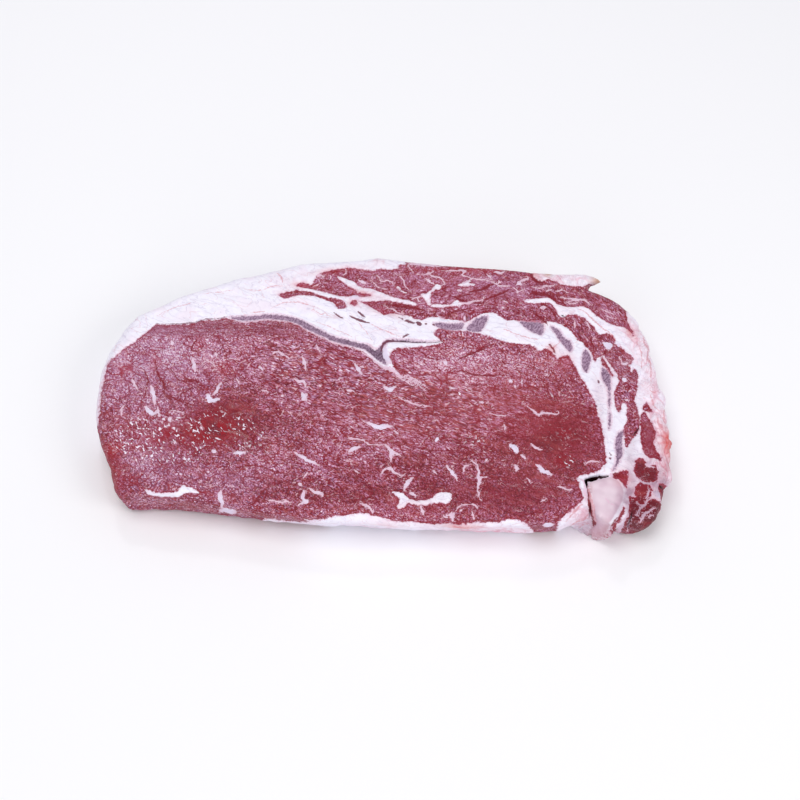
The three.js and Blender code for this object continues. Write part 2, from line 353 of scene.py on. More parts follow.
        (0.8, (20.9, 60.5), (22.2, 58.6), (25.5, 57.7), (27.1, 55.9), (27.7, 54.1), (25.9, 53.2)),
        (0.8, (39.8, 57.1), (37.6, 58.6), (35.7, 59.2), (37.2, 61.7), (30.7, 61.7), (26.5, 61.4)),
        (0.7, (35.6, 54.4), (37.9, 55.6), (39.8, 57.1)),
        (0.8, (33, 43.4), (37.1, 42.8), (40.8, 44.3), (44.5, 44.9)),
        (0.5, (44.5, 45.3), (45.2, 47.2)),
        (0.6, (39.8, 57.1), (44.9, 56.5), (48.6, 55.6)),
        (1.0, (46.9, 59.9), (48.6, 56.8)),
        (0.8, (48.6, 55.6), (51.3, 53.5), (53.6, 52.6), (56.3, 52.6), (57.2, 51.4)),
        (0.9, (51.4, 56.2), (52.2, 54.4)),
        (1.4, (59.1, 53.5), (61, 54.4), (61.8, 53.4)),
        (0.7, (60.4, 54.9), (61.6, 56.2), (64.9, 56.8), (64.5, 58.6)),
        (0.7, (57.2, 52), (59.5, 50.8), (59.9, 49.6), (62.7, 50.8)),
        (1.1, (49.7, 61.1), (52.5, 60.5), (54.9, 61.1)),
        (1.0, (33, 50.3), (35.5, 50)),
        (1.4, (62.4, 44.3), (64.7, 44.9)),
        (0.9, (26.1, 39.6), (27.9, 38.4)),
        (0.8, (53.2, 44.3), (55, 43.1)),
        (1.1, (52.6, 40), (53.6, 41)),
        (0.6, (24.2, 36.7), (26, 35), (27.8, 34.7)),
        (1.0, (69, 40.2), (71, 41), (70.3, 39.2)),
        (0.5, (66, 52.5), (70, 51.5), (73, 53)),
        (0.6, (71, 53.5), (74, 53), (77, 53.6)),
        (0.5, (76, 49.5), (79, 50.5), (82, 49)),
        (0.6, (72, 50), (75, 51)),
        (0.6, (80.5, 44), (83, 43), (86, 43.6)),
        (0.5, (95, 40), (98, 38.5), (101, 37)),
        (0.5, (97, 36.5), (100, 34.4)),
        (0.5, (83, 34.5), (83.6, 31.8), (82.8, 29)),
        (0.6, (88, 33.5), (89.5, 31), (90, 28.6)),
        (1.1, (12, 65.8), (18, 65.2), (24, 64.6), (28, 64)),
        # right-hand strips of lean
        (2.4, (94.5, 21), (97.5, 20), (96, 18)),
        (1.6, (100.5, 20), (102, 20)),
        (1.2, (101.5, 10), (104.5, 11)),
        (0.5, (101, 14.5), (101.5, 12), (102, 10.5)),
        (2.4, (101.3, 2), (102.7, 2.3)),
        (0.6, (103, -4), (105, -3)),
        (1.5, (102, -7.7), (102, -8.6)),
        (1.1, (97.8, -61.8), (97, -63.5), (95.7, -65.4), (94.5, -67.3), (93.5, -69.5), (92.6, -72)),
        (0.8, (107.2, -54.9), (105.8, -56.6), (104.2, -58.1), (103, -59.3), (101.6, -61.5),
         (100.4, -63.5)),
        (0.5, (103.3, -59.1), (102.3, -58.4), (101.5, -57.6), (101.1, -56.6)),
        (0.8, (108.7, -59.6), (105.3, -61.5), (103.8, -62.8), (102.5, -64.4), (101.5, -66.7)),
        (0.4, (107.4, -62.8), (105.9, -63.5), (104.7, -64.4)),
        (0.4, (96, -70.4), (97.4, -66.8), (99, -63.6)),
        (1.1, (101.8, -45.6), (103.4, -47.3), (104.4, -48.2), (105.8, -48.5), (107.5, -48.8),
         (109.2, -48.4), (110.3, -47.2)),
        (0.6, (106.1, -50.4), (106.6, -51.8), (105.8, -54), (104.5, -56)),
        # painted highlight: a bright bluish glint on a wet fold of the tail
        (1.8, (107.9, -52.6), (109.2, -52.8), (109.8, -54.2), (108.4, -54.8)),
        # painted glints along the top edge of the tail
        (0.9, (106.2, -39.3), (107, -40.2), (108.4, -40.6), (110, -41)),
        (0.5, (88.4, -55.6), (89.9, -57.7), (93, -60.2)),
        (0.9, (91.8, -43.9), (92.4, -45), (92.2, -46.2)),
        (1.0, (78.3, -46.6), (80.9, -47.6), (81.4, -50), (81.5, -54), (81.6, -58)),
        # painted glints at the top of the tail
        (1.0, (107.2, -38.6), (109, -39.6)),
        # eye, left
        (0.4, (-75.8, 8.8), (-75.1, 11), (-73, 11.9), (-70.7, 10.5), (-69.6, 8.3), (-70.8, 6.1)),
        (1.2, (-89.1, 22.8), (-88.6, 20)),
        (1.3, (-79.2, 13.5), (-78.5, 10), (-78, 7.5), (-77.7, 6)),
        (1.0, (-69.6, 16.6), (-69.1, 13.3)),
        (1.0, (-103.5, 3), (-102.5, 0), (-100.5, -3)),
        (1.5, (-95.3, -0.5), (-94.5, -4), (-93.2, -8), (-93, -10.5)),
        (0.6, (-105, -10), (-106.3, -13.5), (-105.8, -16)),
        (1.8, (-96.8, -11), (-95, -13.6), (-93, -15.2), (-91.4, -14.4)),
        (1.1, (-91.8, -11.8), (-91.2, -14), (-90, -16.8)),
        (0.5, (-87, -15), (-85, -13.5), (-80, -14.8)),
        (1.3, (-86.3, -16.6), (-85.5, -19.5)),
        (2.2, (-71.5, -5), (-70.6, -7.8), (-68.4, -8.6), (-66.5, -7.2)),
        (1.3, (-68.8, -6), (-68, -4), (-66.8, -1.5), (-66.3, 1)),
        (1.0, (-82.7, -2.4), (-82.3, -2.6)),
        (1.6, (-76.7, -36.8), (-76, -37.3)),
        (1.2, (-86.8, -36.5), (-86.2, -37)),
        (1.0, (-83.2, -29), (-82.7, -30)),
        (1.4, (-67.5, -32.8), (-65.6, -33.8)),
        (0.6, (-73, -21), (-72, -23.5)),
        # eye, middle
        (0.9, (-46, 15.5), (-43.5, 17), (-41.5, 15.5), (-38, 13)),
        (1.2, (-51, 9.2), (-49.3, 7)),
        (1.1, (-33.3, 15), (-32, 11.5), (-31.2, 7)),
        (0.6, (-27.3, 20.5), (-26.5, 18), (-24.8, 15.5)),
        (1.1, (-36, 2.5), (-33.5, 1), (-32, 1.2), (-31.3, -0.5), (-30.5, -2)),
        (1.7, (-32.6, -4.4), (-31.4, -6.2), (-31.8, -8.8)),
        (1.2, (-29.8, -5), (-31.2, -7), (-30.2, -8.8)),
        (0.9, (-25.5, -0.8), (-24.5, -1.5)),
        (1.2, (-17.6, 2), (-17, 2)),
        (1.4, (-10.8, 11), (-9.3, 8), (-7.8, 4.6)),
        (1.1, (-14, -3.5), (-11.5, -3.7)),
        (0.6, (-49.5, -3), (-46, -4.5)),
        (1.0, (-41, -6), (-40, -6.5)),
        (0.5, (-60.5, 3), (-58.5, 0)),
        (1.8, (-5.4, -19.2), (-3, -20.7), (-0.5, -22), (2, -21.4), (5.4, -21.3)),
        (0.9, (5.5, -23.5), (8.4, -25.2)),
        (0.7, (-13, -27.5), (-9, -27.5), (-6.5, -28), (-4, -30.2), (3, -30.3)),
        (1.7, (1.6, -1.2), (4, -3.1), (6.8, -1.4)),
        (1.3, (26.5, 12), (28.5, 9.5)),
        (2.4, (23.0, -27.3), (23.8, -27.8)),
        (0.9, (41, -9), (43, -9.8)),
        (0.7, (50.8, -20.3), (51, -23.5)),
        (0.9, (60.5, -11), (63, -13.5), (65, -15.8), (67, -14.7), (70, -15.3), (73, -15), (73.3, -13.6)),
        (1.5, (53.8, 1.7), (55.3, 1.2)),
        (0.9, (58.5, 0.5), (59.5, 2.2)),
        (0.9, (55.6, -1.2), (56.6, -1.6)),
        (0.7, (69, 4), (70.5, 5)),
        (0.6, (5, -5.5), (10, -8), (14, -10), (22, -11.5)),
        (0.5, (46, -15), (49, -16.5), (52, -16)),
        # eye, front
        (1.6, (-62.5, -51.6), (-62.4, -54.5), (-61.5, -57.6), (-61.6, -60)),
        (1.8, (-62.5, -60.6), (-59, -61), (-55.4, -61.8)),
        (0.6, (-44, -56), (-39, -57.2), (-34, -57)),
        (1.7, (-58.8, -34), (-56, -34.5), (-54, -33.8)),
        (1.5, (-34.4, -33.8), (-31, -36), (-29, -38), (-26, -39), (-23.6, -40.3)),
        (0.6, (-28.5, -43.5), (-30, -46.5)),
        (1.1, (-32, -48.5), (-30.5, -49.5)),
        (1.2, (-27.8, -50.8), (-25, -52.5), (-22.5, -53.3), (-22, -55)),
        (1.4, (-29.5, -51.4), (-30, -55.5), (-28.5, -57), (-32, -58.7)),
        (0.6, (-38, -56), (-35, -57)),
        (1.4, (-12.8, -33.7), (-11, -32.4), (-7.6, -31.2)),
        (0.7, (-10, -42), (-8, -44)),
        (0.9, (-7.5, -57.5), (-5.5, -58.5), (-4, -59.5), (-2, -62)),
        (1.2, (1.6, -30.4), (4, -32), (5, -34), (4.5, -37), (5, -38.7)),
        (0.9, (5.3, -33.8), (8.8, -35.6)),
        (1.0, (0.8, -44.4), (2.5, -41.8), (4.5, -41.8), (6, -43.5), (9, -45), (10, -44.3)),
        (1.3, (13.6, -45.6), (12, -47.2), (10.6, -49.4), (10, -52)),
        (0.9, (16.3, -58.6), (17.7, -63.3)),
        (1.2, (12, -52.6), (14.8, -54.2)),
        (0.9, (21.5, -42.3), (23, -44.2)),
        (1.4, (26.6, -40), (29, -43.5), (30.5, -46), (31.2, -47.4)),
        (0.8, (33.5, -43.5), (34.5, -40.5), (36, -40)),
        (1.1, (36.6, -37.3), (39, -40), (39.5, -44), (39.5, -48), (39.2, -51), (39.5, -54), (40, -56.4)),
        (0.5, (39.6, -46), (43, -45.4)),
        (1.4, (42.8, -37.3), (43.3, -37.7)),
        (1.1, (25, -63), (27.2, -64.2)),
        (1.1, (28.5, -61.6), (29, -66)),
        (1.2, (31.8, -60.8), (32.3, -61.3)),
        (0.7, (36.5, -58), (39, -59.5)),
        (0.5, (36.5, -61), (37, -65)),
        (0.5, (30.3, -61.7), (32.1, -58.7), (36.8, -58.4), (39, -60.4)),
        (0.9, (28.5, -65), (29.4, -62.4), (28, -63), (25.1, -63.6)),
        (2.2, (52.6, -30), (54.6, -32.2), (55.6, -34.2)),
        (0.9, (56.8, -34.8), (59.2, -37.2)),
        (0.9, (61, -29.6), (63, -32), (66, -32.7)),
        (1.7, (62.6, -39.6), (65, -42.3), (67, -43.5), (68.8, -44.8)),
        (1.0, (54.3, -39.6), (55, -42), (54, -42.6)),
        (0.8, (70.5, -49.5), (72.5, -50.5), (75, -51.5), (76.8, -51.1)),
        (0.7, (58.4, -46), (60, -47.6), (60.5, -48.6)),
        (0.5, (82, -39.5), (85, -38), (89, -39)),
        (1.8, (63.4, -68), (68.2, -66.8)),
        (0.5, (63.6, -57.4), (66, -55.4)),
    ],
    # Slits, where one thing lies over another. Each sinks a little and is painted near black as the shade
    # in the gap.
    "slit": [
        (0.6, (4, 22.7), (7, 22.9), (12, 22.6), (17, 22.1), (21, 21.9), (26, 22.3)),
        (0.7, (78, 37), (80, 36)),
        (0.6, (105.5, -22), (103, -25.5)),
        (0.8, (111.2, -49.4), (112.6, -51)),
        (1.5, (81.6, -47.3), (84, -46.7), (87, -46)),
        (1.2, (85, -46.4), (88, -45.5), (91.6, -44.9)),
        (0.5, (99.4, -61), (98.2, -64.6), (96.2, -69)),
    ],
    # Thin folds and dried juice in the lean. The dark red along the folds is partly painted shade.
    "wine": [
        (0.7, (-91, -3.5), (-84, -8), (-77, -11)),
        (0.6, (-100, 9), (-97, 2), (-97.5, -6)),
        (0.6, (-88, 8), (-84, 2), (-78, 1)),
        (0.7, (-52, -59.5), (-48.5, -57), (-46.5, -53), (-43, -49)),
        (0.7, (30, 47.3), (34, 47), (38, 48), (40.5, 48)),
        (0.8, (32, 46), (36, 44.8), (38, 44.5)),
        (1.3, (38, 49.5), (42, 50.5), (46, 52), (48, 54), (50.5, 54.6), (53, 53.4)),
        (1.1, (45, 45.2), (49, 47), (53, 49), (56.5, 51.3)),
        (0.9, (26.5, 35.8), (30, 37.5), (33, 39), (39, 40.3)),
        (0.9, (41, 39.6), (44, 39.8), (49, 40.5), (51.5, 38), (53, 36), (55, 34.5)),
        (0.8, (40, 43.3), (44, 43.5), (46, 45)),
        (1.5, (66, 61), (67, 58), (68.5, 56), (71.5, 55)),
        (1.6, (65, 48.6), (71, 48), (74, 46.8), (77, 44), (80, 43)),
        (1.1, (64, 50.6), (70, 49), (76, 47.5)),
        (1.0, (72, 42), (74.4, 39), (75.6, 35.6), (74.6, 33)),
        (1.0, (66, 38), (70, 34), (72, 30.6)),
        (1.8, (2, 42.6), (6, 42.2), (10, 41.6), (15, 40.6), (19, 39.6)),
        (0.6, (92, 17), (90, 22), (90, 27)),
        (0.8, (94.6, 15.4), (96.6, 17.6)),
        (0.8, (71.5, 21), (73, 18.6), (74.2, 15.6)),
        (1.4, (92.8, -45), (94.3, -44.6), (96, -44)),
        (0.9, (82, -48.8), (82.1, -53.6), (82.4, -57.4), (82.9, -61.3), (83.4, -65.1), (83.5, -68.5),
         (83.2, -72)),
        (0.5, (88.6, -69.6), (90.6, -67.4), (93, -64)),
        (0.5, (101.2, -70), (104, -67), (107, -66)),
        (0.5, (100, -64.6), (103.4, -60.8), (106.4, -58.6)),
        (0.9, (32.1, 6.4), (35.2, 6.7), (37.4, 5.3), (41.8, 4.7), (46.2, 4.5), (52.3, 4.7)),
        (1.1, (32.7, 11.9), (35, 14.1), (38.6, 15.8), (42.2, 18), (45.9, 20.2), (48.6, 21.1)),
        (0.6, (17.2, 17.4), (19.9, 14.1), (23, 13), (26, 12.2)),
        (0.6, (36.4, 0.4), (39, -0.7), (42.5, -0.1)),
        (0.6, (50.9, 12.4), (52.6, 10.8), (54.7, 11)),
        (0.5, (25.4, 26.5), (25.8, 23.1), (28, 20.8)),
        (0.8, (-95.2, 12.1), (-94.1, 8.3), (-92.6, 3.9), (-90, 0.1), (-89.5, -4.7), (-87, -7.9),
         (-85, -11.1)),
        (0.7, (-83, 5), (-80.6, 2.8), (-77.9, 1.8), (-73.7, -0.4)),
        (0.6, (-83.1, -8.4), (-82.3, -4.7), (-79.7, -2.8), (-77.6, -0.9)),
        (0.7, (-78, 23.3), (-80, 20.5), (-80.2, 17.7), (-77.4, 17.1), (-75, 20.5)),
        (0.5, (10, -30), (22, -33), (30, -33), (40, -36)),
        (0.5, (44, -24), (54, -26.6), (62, -26)),
        (0.5, (-30, -18), (-18, -20), (-8, -25)),
        (0.5, (-60, -42), (-50, -40), (-38, -44), (-22, -46)),
        (0.6, (104.5, -44), (106.4, -41.6), (108, -42)),
    ],
    # Remnants of lean in the fat.
    "brown": [
        (0.7, (-20.6, 38.2), (-17.5, 35.3), (-15.8, 34.6)),
        (1.0, (-10.1, 38.6), (-8.5, 36.9), (-6.6, 35.1)),
        (1.1, (-13.6, 36.2), (-11.3, 34.6), (-8, 33.2), (-4.6, 32.2)),
        (0.5, (7.3, 35.7), (9, 34.5), (10.6, 33.2)),
        (1.4, (10.6, 33.6), (12.6, 32.9), (14.4, 31.8)),
        (1.8, (15.6, 33), (16.4, 31.9), (17.4, 31)),
        (0.4, (-97, 31.8), (-92, 31.5), (-86, 31.7), (-80, 32.4), (-76, 34.2), (-70, 34.6), (-66, 36)),
        (0.9, (0.3, 17), (0.8, 20), (2.2, 22), (4.4, 22.9), (9, 22.9)),
        (1.0, (19, 32), (20, 31.6)),
        (1.0, (22.2, 31.6), (23.4, 31.2)),
        (0.7, (9, 24), (10.5, 25), (12.3, 26.4)),
        (0.9, (91, 2), (91.3, 0)),
        (0.8, (89.4, -10.5), (89.2, -12)),
        (0.5, (92.4, -34), (93.6, -35.6)),
        (0.6, (92.2, -36.4), (93, -37.4)),
    ],
    # Pink veins in the fat.
    "pink": [
        (0.9, (-46, 60), (-44.2, 58), (-43.4, 56), (-43.2, 54.4)),
        (0.6, (-57, 37.6), (-50, 38.6)),
        (0.6, (-5, 32), (0, 29), (5, 26.3), (9, 24.4)),
        (0.5, (-48, 40), (-42, 43.5), (-36, 43.6), (-31, 42), (-26, 39.5)),
        (0.6, (-30, 39.6), (-26, 37), (-24.4, 37.6), (-22.8, 36), (-21, 35)),
        (0.5, (-60, 51), (-54, 50), (-48, 52.4), (-42, 53)),
        (0.4, (-78, 48), (-70, 49.4), (-64, 50.4)),
        (0.4, (-97, 36), (-90, 40.5), (-82, 43)),
        (0.4, (-14, 38), (-8, 30), (-3, 22)),
        (0.5, (-28, 33), (-20, 29), (-12, 24.6)),
        (0.9, (85, 39.8), (88, 38.6), (91, 34.6), (95, 29.6), (99, 25.6), (100.5, 22)),
        (0.5, (78, 24), (73.6, 19), (68, 20)),
        (0.5, (52, 29), (60, 25), (68, 23)),
        (0.9, (72.6, -65.8), (75.4, -62.8), (78.3, -59.4), (80.3, -58.1)),
        (0.6, (74, -68), (77, -65.6), (80, -64.6), (82, -62)),
        (0.5, (77, -69), (79.4, -67.4), (82, -66.6)),
        (1.8, (83, -50.5), (83.1, -54), (83.5, -58), (83.8, -62), (84.1, -66), (84.2, -70)),
        (0.5, (110.2, 29), (111.2, 25), (112.8, 18), (113.4, 8), (112.8, 0)),
        (0.8, (111.5, -5.3), (112.6, -8.3), (112.8, -11.3), (114.4, -14.2)),
        (1.1, (113.2, -17.2), (114.1, -21.8), (115.2, -24.7), (116.5, -26.4)),
        (0.7, (115.4, -4), (113.6, -4.6), (111.8, -4)),
        (0.7, (117.7, -11.3), (115.9, -14.8), (116, -17.8), (116.8, -21)),
        (0.6, (115.1, 8), (116, 4.3), (117.1, 0.7)),
        (0.5, (108.5, 23), (110.2, 17.9), (110.4, 12.9), (109.6, 6.8)),
    ],
    # Soft patches: centre, reach along and across, turn in degrees, strength.
    # How pale the lean is. Where it is pale and lavender, as on the left of the eye, that is partly a
    # painted sheen of reflected light.
    "tone": [
        (-92, 13, 30, 17, 0, 0.34), (-111, 0, 9, 16, 0, 0.12), (-89, -18, 9, 5, 0, 0.12),
        (-93, -40, 9, 8, 0, 0.14), (-62, -47, 18, 7, -8, 0.10), (-43, -37, 9, 6, 0, 0.08),
        (-22, 10, 24, 6, -10, 0.09), (-60, -60, 8, 3, 0, 0.12), (40, 11, 32, 9, -6, 0.36),
        (25, 3, 9, 4, 0, 0.14), (0, -20, 12, 4, 0, 0.09), (-40, -10, 9, 6, 0, 0.07),
        (25, 23, 10, 4, 0, 0.12), (-26, 0, 12, 6, 0, 0.05), (25, 52, 55, 12, -6, 0.06),
        (100, 36, 9, 9, 0, 0.08), (-60, -14, 14, 10, 0, -0.30), (-66, -26, 18, 9, 0, -0.26),
        (-92, -26, 7, 7, 0, 0.06), (-109, -44, 6, 15, 12, -0.42), (-55, 28, 26, 4, 0, -0.08),
        (30, 3, 8, 6, 0, 0.08), (48, -38, 14, 10, 0, -0.10), (92, 50, 6, 5, 0, -0.16),
        (-64, -19, 13, 8, 0, -0.14), (64, -31, 7, 6, 0, -0.10), (0, -45, 40, 10, 0, -0.05),
        (76, -22, 12, 12, 0, -0.06), (10, -15, 40, 10, -8, -0.03), (-108, -33, 4, 4, 0, -0.10),
        (-32, -27, 9, 5, 0, -0.12), (-12, -54, 30, 7, 0, -0.20), (-43, -54, 12, 6, 0, -0.12),
        (75, -24, 18, 16, 0, -0.28), (78, -41, 10, 6, 0, -0.12), (17, -7, 12, 3, 0, -0.12),
        (50, -54, 34, 12, 0, -0.24), (14, -40, 16, 6, 0, -0.16), (60, -6, 9, 5, 0, -0.10),
        (72, 0, 8, 6, 0, -0.12), (50, -30, 20, 10, 0, -0.12), (-30, -6, 22, 9, -14, -0.07),
        (102, -64, 9, 8, 0, -0.50), (107, -64, 7, 9, 0, -0.85), (107, -43, 6, 6, 0, -0.55),
        (95, -45, 4, 2, 0, -0.25), (6, 41, 12, 3, -10, -0.10), (110, -28, 5, 12, 0, -0.16),
        (40, 62, 24, 2.5, 0, -0.06), (90, 30, 8, 8, 0, -0.06), (112, -53, 3, 5, 0, -0.3),
        (104, -53, 3, 4, 0, -0.16), (110, -12, 3, 3, 0, 0.12),
    ],
    # Smooth, with hardly any grain.
    "calm": [
        (73, -26, 20, 18, 0, 0.85), (52, -54, 34, 11, 0, 0.7), (-66, -12, 9, 5, 10, 0.7),
        (110, -28, 5, 12, 0, 0.9), (-95, 12, 28, 20, 0, 0.1), (-62, -22, 14, 8, 0, 0.6),
        (-84, -26, 16, 7, 0, 0.5), (105, -53, 4, 5, 0, 0.8), (-107, -46, 5, 12, 12, 0.4),
        (96, -46, 4, 5, 0, 0.6), (2, 40, 10, 3, -20, 0.3), (-41, 48, 5, 3, 0, 0.4),
        (-35, 53, 4, 2, 0, 0.5), (-12, 43, 3, 2, 0, 0.6), (-8, 49, 6, 2, -20, 0.3),
        (78, 11, 4, 5, 0, 0.5), (-91, 29, 12, 2, 0, 0.4), (102, -64, 9, 9, 0, 0.7),
        (-10, -55, 30, 5, 0, 0.3), (28, 54, 60, 14, -5, 0.42), (94, 36, 12, 16, 20, 0.3),
        (109, -61, 6, 9, 0, 0.7), (107, -43, 6, 6, 0, 0.75),
    ],
    # Leaning to red or to blue.
    "warm": [
        (40, -4, 34, 20, -8, 0.26), (0, -20, 30, 14, -8, 0.14), (75, 12, 12, 8, 0, 0.2),
        (60, -40, 20, 10, 0, 0.12),
    ],
    # The cool, lavender patches are partly a painted sheen of reflected light.
    "cool": [
        (-96, 8, 22, 22, 0, 0.3), (-90, -40, 12, 10, 0, 0.25), (-60, -48, 16, 7, 0, 0.2),
        (55, 52, 20, 8, 0, 0.15),
    ],
    # Wet: a stronger coat, deeper red, and painted glints, which are painted highlights.
    "wet": [
        (-84, -25, 12, 7, 0, 1.0), (-70, -23, 10, 7, 0, 0.8), (-60, -24, 11, 9, 0, 0.5),
        (-98, -26, 10, 8, 0, 0.9), (-84, -33, 16, 6, 0, 0.8), (74, -38, 4, 3, 0, 0.8),
        (77, -25, 7, 4, 0, 0.3), (38, -28, 5, 3, 0, 0.5), (33, -4, 6, 3, 0, 0.6),
        (-45, -28, 16, 8, 0, 0.3), (107, -43, 4, 4, 0, 0.2), (70, -6, 14, 7, 0, 0.3),
    ],
    # Where the grain is drawn out to strands.
    "fibre": [
        (0, -8, 46, 22, -10, 1.0), (104, -64, 8, 10, 0, 1.0), (-30, 12, 26, 14, -10, 0.8),
        (40, -12, 30, 14, -10, 0.6), (30, 48, 60, 12, -5, 0.5), (-10, -45, 50, 12, 0, 0.4),
    ],
    "scarlet": [
        (-35, 53.4, 3.4, 1.6, 0, 0.9), (-20, 61.5, 10, 2, 10, 0.5), (-41, 48.5, 5, 2, 0, 0.3),
        (-12, 43.4, 2, 1.6, 0, 0.8), (-9, 49, 6, 1.2, -20, 0.6), (2, 38.6, 8, 2, -25, 0.5),
        (78, 11.5, 4, 5, 0, 0.35), (117, -30, 3.2, 7, 0, 1.2), (107, 27, 1.6, 3.4, 20, 0.9),
        (-107, -33, 3, 3, 0, 0.9), (-112, -42, 5, 14, 12, 0.9), (34, -69.6, 8, 2.6, -10, 1.0),
        (0, -69.6, 8, 2.2, 0, 0.7), (76, -22, 14, 12, 0, 0.15), (42, 62.4, 24, 2.0, 0, 0.9),
        (70, 33, 3, 4, 0, 0.2), (-105, -46, 4, 12, 15, 0.5), (-95, 11, 2.5, 5, 0, 0.6),
        (-107, 7, 3.5, 3, 0, 0.7), (-77, 20, 3, 4, 0, 0.5), (-66, 9, 4, 4, 0, 0.6),
        (-81, 1.5, 2.5, 2, 0, 0.6), (-66, -20, 12, 8, 0, 0.3), (67, 59, 3, 3, 0, 0.6),
        (104, -53, 3, 4, 0, 0.5), (96.6, -46, 3.5, 4, 0, 0.5), (72.6, 18, 2, 3, 0, 0.6),
        (-60, -13, 10, 5, 0, 0.25), (60, -20, 26, 16, 0, 0.15), (15, -62, 20, 5, 0, 0.25),
    ],
    # Fat that is pink and veined, tanned, bruised or in shade.
    "rosyFat": [
        (114, 0, 5, 30, 0, 0.7), (114, -36, 6, 16, 0, 1.2), (108, 25, 5, 14, 25, 0.6),
        (80, 57, 14, 4, -5, 0.75), (79, -63, 6, 5, -20, 0.8), (0, -69.4, 8, 1.6, -8, 0.9),
        (45, -70, 20, 2, 0, 0.9), (112, -48, 5, 8, 0, 0.8), (95, 8, 4, 12, 0, 0.25),
        (-117, -5, 3, 14, 0, 0.4), (-1, 66.5, 3, 2.5, 0, 0.5), (-42, 55, 8, 5, 0, 0.25),
        (-6, 48, 18, 4, -20, 0.5), (22, 46, 8, 6, 0, 0.3),
    ],
    "tan": [(95.4, 55.6, 3, 3, 0, 1.0), (73.6, 59.6, 2, 1.6, 0, 0.8), (107.5, -59, 3, 3, 0, 0.35)],
    "bruise": [
        (87, -72.6, 6, 4.4, 0, 1.9), (87.5, -68.6, 4, 3, 0, 0.2), (82.4, -52.5, 1.3, 5, 0, 1.2),
        (98, -73, 8, 3, 0, 0.6), (115.4, -40, 2.6, 4, 0, 0.5), (113, -45, 2.4, 3, 0, 0.4),
        (111, -58, 2, 3, 0, 0.6),
    ],
    "dusk": [
        (100.8, -42, 3, 8, 0, 0.55), (98.8, -55, 3, 7, 0, 1.0), (101.5, -31, 3, 5, 0, 0.3),
        (108, -50, 6, 4, 0, 0.8), (111.6, -47, 2.4, 5, 0, 0.8), (106.6, -38.4, 5, 2, -10, 0.5),
        (93.4, -59, 1.6, 8, -20, 0.35), (90.4, -9, 1.6, 14, 2, 0.25), (103, -60, 8, 7, 0, 0.75),
        (83, -66, 1.6, 5, 0, 0.4), (96.6, 8, 3, 8, -10, 0.2),
    ],
    # Silverskin in shade.
    "gloom": [
        (-1, 15.5, 4, 5, -50, 1.0), (-14, 23, 13, 3, -28, 0.6), (-34, 34, 12, 2.4, -25, 0.35),
        (96, -38, 3, 6, 0, 0.3), (94, -6, 2, 12, 0, 0.35), (86.5, 9, 2, 3, 0, 0.3),
        (41, 31, 5, 3, 0, -0.3), (64, 29.5, 5, 3, 0, -0.3),
    ],
}


def smoothStep(value, low, high):
    share = np.clip((value - low) / (high - low), 0, 1)
    return share * share * (3 - 2 * share)


def throughPoints(points, closed, parts=3):
    # A smooth curve through the points, as a denser list of points.
    points = np.array(points, float)
    if closed:
        before, after, ahead = np.roll(points, 1, 0), np.roll(points, -1, 0), np.roll(points, -2, 0)
        starts = points
    else:
        padded = np.vstack([points[:1], points, points[-1:]])
        before, starts, after, ahead = padded[:-3], padded[1:-2], padded[2:-1], padded[3:]
    rows = []
    for share in np.arange(parts) / parts:
        left = 1 - share
        bend = (after - before) / 3 * share * left**2 - (ahead - starts) / 3 * left * share**2
        rows.append(starts + (after - starts) * share * share * (3 - 2 * share) + bend)
    dense = np.stack(rows, 1).reshape(-1, 2)
    return dense if closed else np.vstack([dense, points[-1:]])


def around(places, points, reach):
    # The numbers of the places in or near the box round the points.
    low, high = points.min(0) - reach, points.max(0) + reach
    return np.flatnonzero(((places > low) & (places < high)).all(1))


def insideDepth(places, loop, reach=6.0):
    # How far each place lies inside the closed outline, less than nothing outside it.
    depth = np.full(len(places), -reach)
    near = around(places, loop, reach)
    x, y = places[near].T
    nearest = np.full(len(near), reach)
    inside = np.zeros(len(near), bool)
    for (ax, ay), (bx, by) in zip(loop, np.roll(loop, -1, axis=0)):
        dx, dy = bx - ax, by - ay
        along = np.clip(((x - ax) * dx + (y - ay) * dy) / max(dx * dx + dy * dy, 1e-9), 0, 1)
        nearest = np.minimum(nearest, np.hypot(x - ax - along * dx, y - ay - along * dy))
        if dy:
            inside ^= ((ay > y) != (by > y)) & (x < ax + (y - ay) * dx / dy)
    depth[near] = np.where(inside, nearest, -nearest)
    return depth


def deepest(places, loops):
    return np.max([insideDepth(places, throughPoints(loop, True)) for loop in loops.values()], 0)


def taper(along, length, width):
    # A line's half width at each distance along it. It narrows towards both ends.
    blunt = 0.35 * width
    fromEnd = np.minimum(along, length - along).clip(0)
    return width / 2 * np.sqrt(((fromEnd + blunt) / (0.45 * length + blunt)).clip(0, 1))


